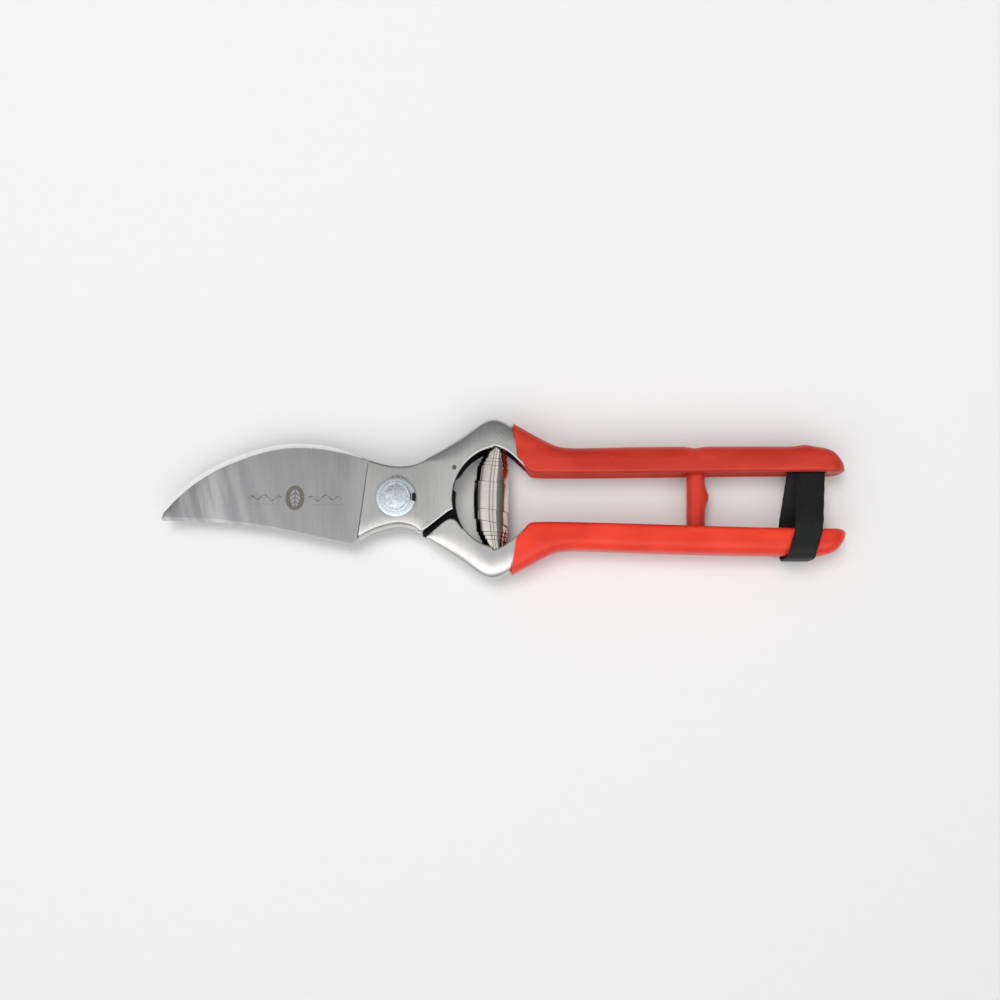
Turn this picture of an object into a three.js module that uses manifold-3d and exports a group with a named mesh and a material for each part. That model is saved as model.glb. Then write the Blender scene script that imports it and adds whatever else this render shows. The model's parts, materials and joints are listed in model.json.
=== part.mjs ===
// Pressed-steel pruning shears, closed and strapped, lying flat. Millimetres.
// The origin is under the middle of the shears, on the plane that they lie on. +X runs along the
// handles, +Y is the side of the upper handle and +Z is up. Everything is drawn about the pivot
// axis and the middle plane between the blades, and the whole group is moved into place at the end.
//
// The two levers are the same pressing turned over: each is built here as an "upper" lever, and
// the lower one is turned half round X. Only their blades differ: a broad convex one in front and
// a hooked one behind.
import * as THREE from "three";
import { mergeVertices } from "three/addons/utils/BufferGeometryUtils.js";
import Module from "manifold-3d";

const wasm = await Module();
wasm.setup();

// ---- Driving dimensions ----

const PIVOT_X = -31.8; // pivot axis from the middle of the shears
const MIDDLE_HEIGHT = 7.05; // middle plane between the blades above the resting plane
const HALF_GAP = 0.15; // from the middle plane to each blade's inner face
const GAP = 0.3; // between two pieces that touch
const COAT_GAP = 0.2; // between the steel and its coating
const PLATE = 3.65; // outer face of a neck plate, from the middle plane
const BLADE = 3.0; // outer face of a blade, from the middle plane
const CHAMFER = { width: 1.3, depth: 2.1, core: 2 }; // of a blade's curved edge
const LEVER_HALF = 5.3; // half of the pressed channel's width
const WALL = 1.7; // sheet thickness in the channel
const CAVITY_HALF = LEVER_HALF - WALL;
const SPINE_ROUND = 2; // rounding of the channel's spine
const CHANNEL_END = 132.5; // where the channel's hollow ends, just short of the handle's tip
const TIP = { x: 136, y: 9.9 }; // the corner at the handle's tip
const NECK_END = 9; // the outer faces start to rise here
const CHANNEL_START = 27; // and here they reach the channel's full width

const SKIN = 0.75; // dipped coating outside the steel
const LINING = 0.7; // dipped coating inside the channel
const SKIN_ROUND = 2.4;
const COAT_START = [35.6, 37.2]; // where the coating starts, at the spine and at the inner edge

const RING = { x: 33, radius: 15.9 }; // round window that holds the spring

const BOLT_RADIUS = 3.5;
const BOLT_END = -6.85;
const HOLE_RADIUS = BOLT_RADIUS + GAP;
const FLANGE_RADIUS = 6.15;
const FLANGE_TOP = 5.1;
const DOME_RADIUS = 4.7;
const DOME_TOP = 6.65;
const NOTCH = { width: 2.3, inner: 4.95, foot: 2.1 };
const PEG_CLEAR = 0.1; // the lock peg's clearance in its notch
const WASHER = { radius: 6.6, thickness: 0.7 };
const NUT = { flats: 11, bottom: -MIDDLE_HEIGHT, round: 0.6 };

const STOP = { x: 92, radius: 2.1, foot: -12.65, head: 15.6, skin: 0.65, skinTop: 13.9 };
const STRAP = { x: 125.8, width: 8.2, thickness: 0.8, clear: 0.2, skew: 0.11 };
const RIVET = {
  radius: 1.2,
  head: 2.6,
  headHeight: 0.7,
  seat: 16,
  burr: 1.4,
  burrSeat: 11.8,
  burrThickness: 0.6,
};

const SPRING = {
  turns: 6, // on each side of the middle
  middleRadius: 5.4,
  endRadius: 1.75,
  half: 20.95, // half of the length between its seats
  width: 8.6, // of the wound strip
  strip: 0.5,
  bow: 1.3,
  x: 30.1,
};
const PEG = { radius: 1.1, length: 6, collar: 1.9, collarHeight: 0.7, seat: 22, x: 30.4 };

// ---- Materials ----

const finish = (color, roughness, metalness) =>
  new THREE.MeshStandardMaterial({ color, roughness, metalness });
const satinSteel = finish(0xb4b4b0, 0.38, 1);
const zincPlate = finish(0xc4ccd0, 0.32, 1);
const brightStrip = finish(0xd6d2c8, 0.15, 1);
const darkSteel = finish(0x2b2b2d, 0.55, 1);
const redVinyl = finish(0xd8402f, 0.35, 0);
const blackLeather = finish(0x1b1c1e, 0.6, 0);

// ---- Solids from three.js geometry ----

function solid(geometry) {
  const bare = new THREE.BufferGeometry();
  bare.setAttribute("position", geometry.getAttribute("position"));
  bare.setIndex(geometry.index);
  const merged = mergeVertices(bare, 1e-4);
  return new wasm.Manifold(
    new wasm.Mesh({
      numProp: 3,
      vertProperties: merged.getAttribute("position").array,
      triVerts: new Uint32Array(merged.index.array),
    }),
  );
}

function part(name, body, material) {
  const { vertProperties, triVerts } = body.getMesh();
  const geometry = new THREE.BufferGeometry();
  geometry.setAttribute("position", new THREE.BufferAttribute(vertProperties, 3));
  geometry.setIndex(new THREE.BufferAttribute(triVerts, 1));
  geometry.computeVertexNormals();
  const mesh = new THREE.Mesh(geometry, material);
  mesh.name = name;
  return mesh;
}

// A flat slab of the outline between two heights, its rims rounded by the given radius.
function slab(outline, bottom, top, round = 0) {
  const options = { depth: top - bottom - 2 * round, curveSegments: 1, bevelEnabled: round > 0 };
  const rims = { bevelSize: round, bevelThickness: round, bevelOffset: -round, bevelSegments: 3 };
  const geometry = new THREE.ExtrudeGeometry(new THREE.Shape(outline), { ...options, ...rims });
  return solid(geometry.translate(0, 0, bottom + round));
}

// A slab of an outline drawn in the XZ plane, running along Y.
function crossSlab(outline, from, to) {
  const geometry = new THREE.ExtrudeGeometry(new THREE.Shape(outline), {
    depth: to - from,
    bevelEnabled: false,
  });
  return solid(geometry.rotateX(Math.PI / 2).translate(0, to, 0));
}

function box(low, high) {
  const size = high.map((value, axis) => value - low[axis]);
  const middle = high.map((value, axis) => (value + low[axis]) / 2);
  return solid(new THREE.BoxGeometry(...size).translate(...middle));
}

// A turned piece about Z: pairs of radius and height, starting and ending on the axis.
function turned(profile, segments = 36) {
  const points = profile.map(([radius, height]) => new THREE.Vector2(radius, height));
  return solid(new THREE.LatheGeometry(points, segments).rotateX(Math.PI / 2));
}

function rod(radius, bottom, top, segments = 36) {
  return turned([[0, bottom], [radius, bottom], [radius, top], [0, top]], segments);
}

// A rod standing along Y at a given x.
const crossRod = (x, radius, from, to) =>
  rod(radius, from, to, 28).rotate([-90, 0, 0]).translate([x, 0, 0]);

// ---- Outlines ----

const points = (pairs) => pairs.map(([x, y]) => new THREE.Vector2(x, y));
const spline = (pairs, steps) => new THREE.SplineCurve(points(pairs)).getPoints(steps);

// A stretch of the ring's circle, by angles in degrees.
function ringArc(from, to, steps) {
  const [start, end] = [from, to].map(THREE.MathUtils.degToRad);
  return new THREE.EllipseCurve(RING.x, 0, RING.radius, RING.radius, start, end).getPoints(steps);
}

// Moves each point of an open line sideways: to the left of its direction by distance.
function offsetLine(line, distance) {
  return line.map((point, i) => {
    const before = line[Math.max(i - 1, 0)];
    const after = line[Math.min(i + 1, line.length - 1)];
    const along = after.clone().sub(before).normalize();
    return new THREE.Vector2(point.x - along.y * distance, point.y + along.x * distance);
  });
}

// The lever's spine from the neck over the shoulder and along the handle to its tip.
const SPINE_LINE = [
  ...spline(
    [[0, 9.9], [4.6, 10.3], [7.6, 11.4], [11, 13.5], [16.6, 17.2], [22.7, 21.4], [26.4, 23.8],
      [29.4, 24.8]],
    26,
  ),
  ...spline(
    [[29.4, 24.8], [32.4, 24.2], [38.1, 21], [44.2, 17.7], [48.4, 15.7], [53.4, 14.95]],
    18,
  ).slice(1),
  ...spline([[53.4, 14.95], [75, 15.55], [100, 15.95], [127.5, 16.2]], 6).slice(1),
  ...spline([[127.5, 16.2], [131, 15.3], [133.9, 13.3], [135.7, 11], [TIP.x, TIP.y]], 8).slice(1),
];

// The channel's inner edge on the same lever, from the tip back to the ring.
const EDGE_LINE = [
  ...spline([[135, 9.8], [124, 9.7], [93, 9.2], [62, 8.6], [44.2, 8.35]], 8),
  ...spline(
    [[44.2, 8.35], [41.6, 8.8], [39.4, 10.5], [36.4, 13], [33, 14.9], [29.6, 15.9], [27.9, 15.05]],
    16,
  ).slice(1),
];
const RING_TOP = 109; // where the ring's circle takes over from the edge, in degrees
const GAP_TOP = 191.5; // where it meets the gap between plate and opposite shoulder
const NOSE_TOP = 150;

const insideSpine = offsetLine(SPINE_LINE, -WALL);
const startOf = (line, x) => line.filter((point) => point.x >= x);

// The front lever's lower side, from its shoulder round the neck to the blade's heel.
const neckUnder = spline(
  [[7.8, -10.9], [4.3, -9.5], [0, -8.9], [-4.9, -9.9], [-9, -12], [-13.3, -14.2]],
  14,
);

// ---- Blades ----

// The broad front blade: convex cutting edge above, almost straight back below.
const FRONT_BLADE = {
  edge: spline(
    [[-4, 10.5], [-8.9, 12], [-15.4, 14.2], [-21.6, 15.6], [-27.6, 16.4], [-32.6, 16.5],
      [-43.2, 14.9], [-55.6, 9.9], [-61.9, 6.2], [-68, 1.2], [-73.9, -5.9]],
    34,
  ),
  back: spline([[-73.5, -6.8], [-60, -7.3], [-42, -8.8], [-29.5, -11], [-13.3, -14.2]], 14),
  root: points([[-4, -9.6]]),
  plate: [
    ...neckUnder,
    ...spline([[-11.6, -13.3], [-10, -2], [-8.9, 7], [-8.7, 11.8]], 8),
    ...spline([[-4.9, 10.6], [0, 9.9]], 3),
  ],
};

// The hooked rear blade, seen from behind like its lever: rim below, concave cutting edge above.
const REAR_BLADE = {
  edge: spline(
    [[-6, -10.4], [-13, -13.7], [-21.4, -16.6], [-32.2, -17.6], [-43, -16.1], [-55.2, -11.5],
      [-61.4, -8], [-67.6, -3.2], [-74, 4]],
    30,
  ),
  back: spline([[-73.4, 5], [-60, 0.6], [-47, -4], [-34, -6.3], [-22, -5.9], [-13, -3.4]], 16),
  root: spline([[-12.4, -2], [-12.6, 2.6], [-10.4, 7.4], [-6, 9.9]], 6),
  plate: [
    ...spline([[7.8, -10.9], [4.3, -9.3], [0, -8.6], [-6, -9.9]], 9),
    ...spline([[-8.8, -8], [-8.9, 0], [-8, 8]], 5),
    ...spline([[-4.9, 10.3], [0, 9.9]], 3),
  ],
};

// A blade's slab from the middle plane out, its outer face chamfered down to the curved edge.
function blade({ edge, back, root }) {
  const whole = slab([...edge, ...back, ...root], HALF_GAP, BLADE);
  const { width, depth, core } = CHAMFER;
  const side = Math.sign(edge[10].y);
  const beyond = points([[-100, edge.at(-1).y - 25 * side], [-100, -60 * side], [30, -60 * side]]);
  const shape = new THREE.Shape([...edge, ...beyond, ...points([[30, edge[0].y]])]);
  const rims = { bevelSize: width, bevelThickness: depth, bevelOffset: -width, bevelSegments: 1 };
  const sharpened = new THREE.ExtrudeGeometry(shape, { depth: core, ...rims });
  return whole.intersect(solid(sharpened.translate(0, 0, BLADE - core - depth)));
}

// ---- Lever ----

// How far the outer faces stand from the middle plane: flat at the neck, rising to the channel.
const RISE = [
  [-80, PLATE],
  [NECK_END, PLATE],
  [NECK_END + 4, PLATE + 0.25],
  [CHANNEL_START - 5, LEVER_HALF - 0.25],
  [CHANNEL_START, LEVER_HALF],
  [140, LEVER_HALF],
];

// Everything below the spine line grown by a distance, with the rims along the spine rounded.
function underSpine(grow, half, round) {
  const line = offsetLine(SPINE_LINE, grow);
  const corners = points([[line.at(-1).x + 1, -25], [-25, -25], [-25, 14], [-9, 14]]);
  return slab([...corners, ...line], -half, half, round);
}

function lever(bladeOutline) {
  const { plate } = bladeOutline;
  const ringEdge = [...ringArc(RING_TOP, GAP_TOP, 22), ...points([[16.7, -3.8]])];
  const frontWall = [...EDGE_LINE, ...ringEdge, ...plate, ...SPINE_LINE.slice(1)];
  const noseEdge = ringArc(RING_TOP, NOSE_TOP, 10);
  const nose = points([[18.5, 7], [17.2, 6.4], [15.8, 6.8], [9.1, 12]]);
  const rearWall = [...EDGE_LINE, ...noseEdge, ...nose, ...startOf(SPINE_LINE, 9.3)];
  const walls = slab(frontWall, HALF_GAP, LEVER_HALF).add(slab(rearWall, -LEVER_HALF, 1));

  const rising = crossSlab(
    points([...RISE, ...RISE.map(([x, z]) => [x, -z]).reverse()]),
    -30, 30,
  );
  const roof = startOf(insideSpine, 14).filter((point) => point.x < CHANNEL_END);
  const mouth = points([[CHANNEL_END, 0], [23, 0], [17, 8.4]]);
  const hollow = slab([...mouth, ...roof], -CAVITY_HALF, CAVITY_HALF);
  return walls
    .intersect(underSpine(0, LEVER_HALF, SPINE_ROUND))
    .intersect(rising)
    .subtract(hollow)
    .add(blade(bladeOutline))
    .subtract(rod(HOLE_RADIUS, -20, 20, 48));
}

// ---- Coating ----

// The handle's outline grown from the steel, from the coating's start to the tip.
function handleOutline(grow, startX) {
  const spine = startOf(offsetLine(SPINE_LINE, grow), startX);
  const edge = offsetLine(EDGE_LINE, grow).filter(({ x }) => x > startX && x < TIP.x - 2);
  const tip = points([[TIP.x + grow * 0.6, TIP.y - grow * 0.7]]);
  return [...edge, ...spine, ...tip];
}

// The open channel, narrowed by a lining: from the handle's inner side up to the spine.
function channel(shrink, startX) {
  const end = CHANNEL_END - shrink;
  const half = CAVITY_HALF - shrink;
  const roof = startOf(offsetLine(SPINE_LINE, -WALL - shrink), startX);
  return slab([...points([[end, 0], [startX, 0]]), ...roof.filter(({ x }) => x < end)], -half, half);
}

function sleeve() {
  const half = LEVER_HALF + SKIN;
  const handle = points([[COAT_START[0], 30], [COAT_START[1], 0], [150, 0], [150, 30]]);
  const outer = slab(handleOutline(SKIN, 30), -half, half)
    .intersect(underSpine(SKIN, half, SKIN_ROUND))
    .intersect(slab(handle, -half, half));
  const steelHalf = LEVER_HALF + COAT_GAP;
  const steel = slab(handleOutline(COAT_GAP, 30), -steelHalf, steelHalf)
    .intersect(underSpine(COAT_GAP, steelHalf, SPINE_ROUND))
    .subtract(channel(COAT_GAP, 24));
  return outer.subtract(steel).subtract(channel(LINING, 24));
}

// ---- Volute spring ----

// The wound strip's middle line. Its frames keep the strip's width along the spring's own axis.
class VoluteCurve extends THREE.Curve {
  constructor() {
    super();
    this.arcLengthDivisions = 900;
  }
  // Axial place of the strip's middle: the outer turns lie nested, the last ones reach the seat.
  rise(turn) {
    const size = Math.abs(turn);
    const step = 5.3; // the first turn's rise past the middle one
    const pitch = 1.15; // each further turn's
    const early = 0.9;
    const first = step * THREE.MathUtils.smootherstep(size, 0, 1.25);
    const nested = first + pitch * Math.max(size - early, 0);
    const reach = SPRING.half - SPRING.width / 2 - step - pitch * (SPRING.turns - early);
    return Math.sign(turn) * (nested + reach * THREE.MathUtils.smoothstep(size, 3.6, SPRING.turns));
  }
  getPoint(t, target = new THREE.Vector3()) {
    const turn = (2 * t - 1) * SPRING.turns;
    const shrink = (SPRING.middleRadius - SPRING.endRadius) / SPRING.turns;
    const radius = SPRING.middleRadius - shrink * Math.abs(turn);
    const angle = 2 * Math.PI * turn;
    const y = this.rise(turn);
    return target.set(axisX(y) + radius * Math.cos(angle), y, radius * Math.sin(angle));
  }
  computeFrenetFrames(steps) {
    const frames = { tangents: [], normals: [], binormals: [] };
    for (let i = 0; i <= steps; i++) {
      const t = this.getUtoTmapping(i / steps);
      const centre = this.getPoint(t);
      const outward = new THREE.Vector3(centre.x - axisX(centre.y), 0, centre.z).normalize();
      frames.tangents.push(this.getTangent(t));
      frames.normals.push(outward);
      frames.binormals.push(new THREE.Vector3(0, 1, 0));
    }
    return frames;
  }
}

// The closed spring bows towards the pivot at its middle, less so beyond the bend near its ends.
function axisX(y) {
  const bend = 18;
  const ease = Math.abs(y) < bend ? 1 : bend / Math.abs(y);
  return SPRING.x + SPRING.bow * ((y / 14) ** 2 - 1) * ease;
}

function spring() {
  const across = SPRING.strip / 2;
  const along = SPRING.width / 2;
  const section = points([[-across, -along], [-across, along], [across, along], [across, -along]]);
  const geometry = new THREE.ExtrudeGeometry(new THREE.Shape(section), {
    steps: 2 * SPRING.turns * 22,
    extrudePath: new VoluteCurve(),
  });
  return solid(geometry);
}

// ---- Strap ----

const STRAP_SEAT = 16.3; // the handle's spine where the strap goes round it

// The loop, as an outline in YZ: from the rivet inside the upper channel round the lower handle.
function strap() {
  const grip = LEVER_HALF + SKIN + STRAP.clear; // inner face beside the lower handle
  const outside = -(STRAP_SEAT + SKIN + STRAP.clear); // inner face under its spine
  const half = [
    [12.1, 0], [12.1, 1.5], [11.4, 1.75], [8.8, 1.8], [-7.6, grip], [-12, grip + 0.02],
    [outside + 1.9, grip], [outside + 0.5, grip - 1.2], [outside, grip - 3], [outside, 0],
  ];
  const side = points(half.map(([y, z]) => [y, z]));
  const outerSide = offsetLine(side, -STRAP.thickness);
  const whole = strapSlab(outerSide, STRAP.width);
  const hole = strapSlab(side, STRAP.width + 4);
  return whole.subtract(hole).subtract(crossRod(STRAP.x, RIVET.radius + GAP, 5, 20));
}

// The half outline, closed by its mirror image and stretched along the handle at the strap's slant.
function strapSlab(half, width) {
  const mirrored = half.slice(1, -1).reverse().map(({ x, y }) => new THREE.Vector2(x, -y));
  const shape = new THREE.Shape([...half, ...mirrored]);
  const geometry = new THREE.ExtrudeGeometry(shape, { depth: width, bevelEnabled: false });
  return solid(geometry.applyMatrix4(new THREE.Matrix4().set(
    STRAP.skew, 0, 1, STRAP.x - width / 2 - STRAP.skew * 10,
    1, 0, 0, 0,
    0, 1, 0, 0,
    0, 0, 0, 1,
  )));
}

// ---- Pivot, stop and rivet ----

function pivotBolt() {
  const dome = [
    [DOME_RADIUS, FLANGE_TOP], [4.5, 5.55], [3.9, 6], [2.8, 6.4], [1.4, 6.6], [0, DOME_TOP],
  ];
  const body = turned([
    [0, BOLT_END], [BOLT_RADIUS, BOLT_END], [BOLT_RADIUS, PLATE + GAP], [FLANGE_RADIUS, PLATE + GAP],
    [FLANGE_RADIUS, FLANGE_TOP - 0.3], [FLANGE_RADIUS - 0.3, FLANGE_TOP], ...dome,
  ], 48);
  const half = NOTCH.width / 2;
  return body.subtract(
    box([NOTCH.inner, -half, PLATE - 1], [FLANGE_RADIUS + 1, half, FLANGE_TOP + 1]),
  );
}

function lockPeg() {
  const half = NOTCH.width / 2 - PEG_CLEAR;
  return box(
    [NOTCH.inner + PEG_CLEAR, -half, NOTCH.foot + PEG_CLEAR],
    [FLANGE_RADIUS - PEG_CLEAR, half, FLANGE_TOP - 0.4],
  );
}

function nut() {
  const corner = NUT.flats / Math.sqrt(3);
  const top = -PLATE - WASHER.thickness - 2 * GAP;
  const hexagon = rod(corner, NUT.bottom, top, 6);
  const outside = corner + 0.05;
  const rounding = turned([
    [0, NUT.bottom], [corner - NUT.round, NUT.bottom], [outside, NUT.bottom + 0.35],
    [outside, top], [0, top],
  ]);
  return hexagon.intersect(rounding).subtract(rod(HOLE_RADIUS, -20, 0, 48));
}

function washer() {
  const top = -PLATE - GAP;
  return rod(WASHER.radius, top - WASHER.thickness, top, 40).subtract(rod(HOLE_RADIUS, -20, 0, 48));
}

function stopRod() {
  return crossRod(STOP.x, STOP.radius, STOP.foot, STOP.head);
}

function stopSkin() {
  return crossRod(STOP.x, STOP.radius + STOP.skin, STOP.foot - 0.45, STOP.skinTop);
}

function strapRivet() {
  const { seat, head, headHeight } = RIVET;
  const dome = turned([
    [0, seat], [head, seat], [head - 0.5, seat + headHeight], [0, seat + headHeight + 0.15],
  ], 24).rotate([-90, 0, 0]).translate([STRAP.x, 0, 0]);
  const tail = RIVET.burrSeat - RIVET.burrThickness - 0.2;
  return dome
    .add(crossRod(STRAP.x, RIVET.radius, RIVET.burrSeat + GAP, seat + 0.2))
    .add(crossRod(STRAP.x, RIVET.radius / 2, tail, seat));
}

function rivetBurr() {
  const burr = crossRod(STRAP.x, RIVET.burr, RIVET.burrSeat - RIVET.burrThickness, RIVET.burrSeat);
  return burr.subtract(crossRod(STRAP.x, RIVET.radius / 2 + GAP, 5, 20));
}

function springPeg() {
  return crossRod(PEG.x, PEG.radius, PEG.seat - PEG.length, PEG.seat).add(
    crossRod(PEG.x, PEG.collar, PEG.seat - PEG.collarHeight, PEG.seat),
  );
}

// ---- Assembly ----

const turnedOver = (body) => body.rotate([180, 0, 0]);
const rodHole = crossRod(STOP.x, STOP.radius + GAP, 5, 25);
const rivetHole = crossRod(STRAP.x, RIVET.radius + GAP, 10, 25);
const rivetHeadRoom = crossRod(STRAP.x, RIVET.head + GAP, RIVET.seat - GAP, 20);

const upperLever = lever(FRONT_BLADE)
  .subtract(rodHole)
  .subtract(rivetHole)
  .subtract(rivetHeadRoom)
  .subtract(box(
    [NOTCH.inner, -NOTCH.width / 2, NOTCH.foot],
    [FLANGE_RADIUS, NOTCH.width / 2, 10],
  ));
const lowerLever = lever(REAR_BLADE);
const upperSleeve = sleeve()
  .add(stopSkin())
  .subtract(crossRod(STOP.x, STOP.radius + COAT_GAP, STOP.foot - GAP, 25))
  .subtract(rivetHole)
  .subtract(rivetHeadRoom);
const lowerSleeve = sleeve();

const shears = new THREE.Group();
shears.position.set(PIVOT_X, 0, MIDDLE_HEIGHT);
shears.add(
  part("upper_lever", upperLever, satinSteel),
  part("lower_lever", turnedOver(lowerLever), satinSteel),
  part("upper_grip_sleeve", upperSleeve, redVinyl),
  part("lower_grip_sleeve", turnedOver(lowerSleeve), redVinyl),
  part("pivot_bolt", pivotBolt(), zincPlate),
  part("bolt_lock_peg", lockPeg(), darkSteel),
  part("pivot_washer", washer(), zincPlate),
  part("pivot_nut", nut(), zincPlate),
  part("volute_spring", spring(), brightStrip),
  part("upper_spring_peg", springPeg(), darkSteel),
  part("lower_spring_peg", turnedOver(springPeg()), darkSteel),
  part("stop_rod", stopRod(), darkSteel),
  part("closing_strap", strap(), blackLeather),
  part("strap_rivet", strapRivet(), zincPlate),
  part("strap_rivet_burr", rivetBurr(), zincPlate),
);

export default shears;
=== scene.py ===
"""Bypass pruning shears: the finished look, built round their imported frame.

Two mirrored pressed-steel levers cross at one bolt. The upper one carries the broad front blade,
the lower one the hooked rear blade. Their handles are dipped in red vinyl, a volute spring stands
between their shoulders, and a strap holds them shut.

Sizes are millimetres from the pivot axis and the middle plane between the blades, with X towards
the handle ends, Y towards the upper handle and Z up. Stock.point turns them into frame metres.
"""

import json
import logging
import math
from collections.abc import Callable, Sequence
from dataclasses import dataclass
from enum import Enum
from functools import partial

import bmesh
import bpy
from mathutils import Matrix, Vector


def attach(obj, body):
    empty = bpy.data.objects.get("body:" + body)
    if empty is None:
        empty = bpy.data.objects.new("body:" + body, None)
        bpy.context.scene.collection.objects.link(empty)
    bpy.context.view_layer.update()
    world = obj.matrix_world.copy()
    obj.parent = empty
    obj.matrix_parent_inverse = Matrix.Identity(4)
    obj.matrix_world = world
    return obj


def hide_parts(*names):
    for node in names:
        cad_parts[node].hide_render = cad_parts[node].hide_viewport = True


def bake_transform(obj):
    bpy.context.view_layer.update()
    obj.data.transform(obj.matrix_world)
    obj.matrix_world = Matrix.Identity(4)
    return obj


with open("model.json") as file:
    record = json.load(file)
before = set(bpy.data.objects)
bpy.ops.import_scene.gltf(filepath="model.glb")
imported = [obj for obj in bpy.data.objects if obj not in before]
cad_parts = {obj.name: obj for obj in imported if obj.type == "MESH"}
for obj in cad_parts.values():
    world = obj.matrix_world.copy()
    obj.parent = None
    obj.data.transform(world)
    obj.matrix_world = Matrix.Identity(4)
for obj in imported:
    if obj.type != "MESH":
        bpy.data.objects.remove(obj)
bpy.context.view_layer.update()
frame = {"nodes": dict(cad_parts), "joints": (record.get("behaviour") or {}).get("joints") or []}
MM = 0.001  # metres in a millimetre
PER_METRE = 1000.0  # millimetres in a metre
LOG = logging.getLogger("shears")

Pair = tuple[float, float]
Place = Callable[[int, int], Vector]
Paintwork = Callable[[int, int], int]


# ---- Shader building -------------------------------------------------------------------------


@dataclass(frozen=True)
class Term:
    """One value socket of a shader, used like a number in an expression."""

    graph: "Graph"
    socket: bpy.types.NodeSocket

    def __add__(self, other: "Term | float") -> "Term":
        """Sum of two values."""
        return self.graph.maths("ADD", self, other)

    def __sub__(self, other: "Term | float") -> "Term":
        """Difference of two values."""
        return self.graph.maths("SUBTRACT", self, other)

    def __rsub__(self, other: float) -> "Term":
        """Difference with the number first."""
        return self.graph.maths("SUBTRACT", other, self)

    def __mul__(self, other: "Term | float") -> "Term":
        """Product of two values."""
        return self.graph.maths("MULTIPLY", self, other)

    def __gt__(self, other: "Term | float") -> "Term":
        """1 where the first value is larger, else 0."""
        return self.graph.maths("GREATER_THAN", self, other)

    def __lt__(self, other: "Term | float") -> "Term":
        """1 where the first value is smaller, else 0."""
        return self.graph.maths("LESS_THAN", self, other)

    def __abs__(self) -> "Term":
        """The value without its sign."""
        return self.graph.maths("ABSOLUTE", self)

    __radd__ = __add__
    __rmul__ = __mul__

    def larger(self, other: "Term | float") -> "Term":
        """The larger of two values."""
        return self.graph.maths("MAXIMUM", self, other)

    def sine(self) -> "Term":
        """Sine of the value in radians."""
        return self.graph.maths("SINE", self)

    def root(self) -> "Term":
        """Square root of the value."""
        return self.graph.maths("SQRT", self)

    def ramp(self, low: float, high: float) -> "Term":
        """A smooth step.

        Args:
            low: Value at and below which the result is 0.
            high: Value at and above which it is 1.

        Returns:
            The step as a new term.
        """
        settings = {"interpolation_type": "SMOOTHSTEP", "clamp": True}
        inputs = {"Value": self, "From Min": low, "From Max": high}
        return Term(self.graph, self.graph.node("ShaderNodeMapRange", settings, inputs).outputs[0])


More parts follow.
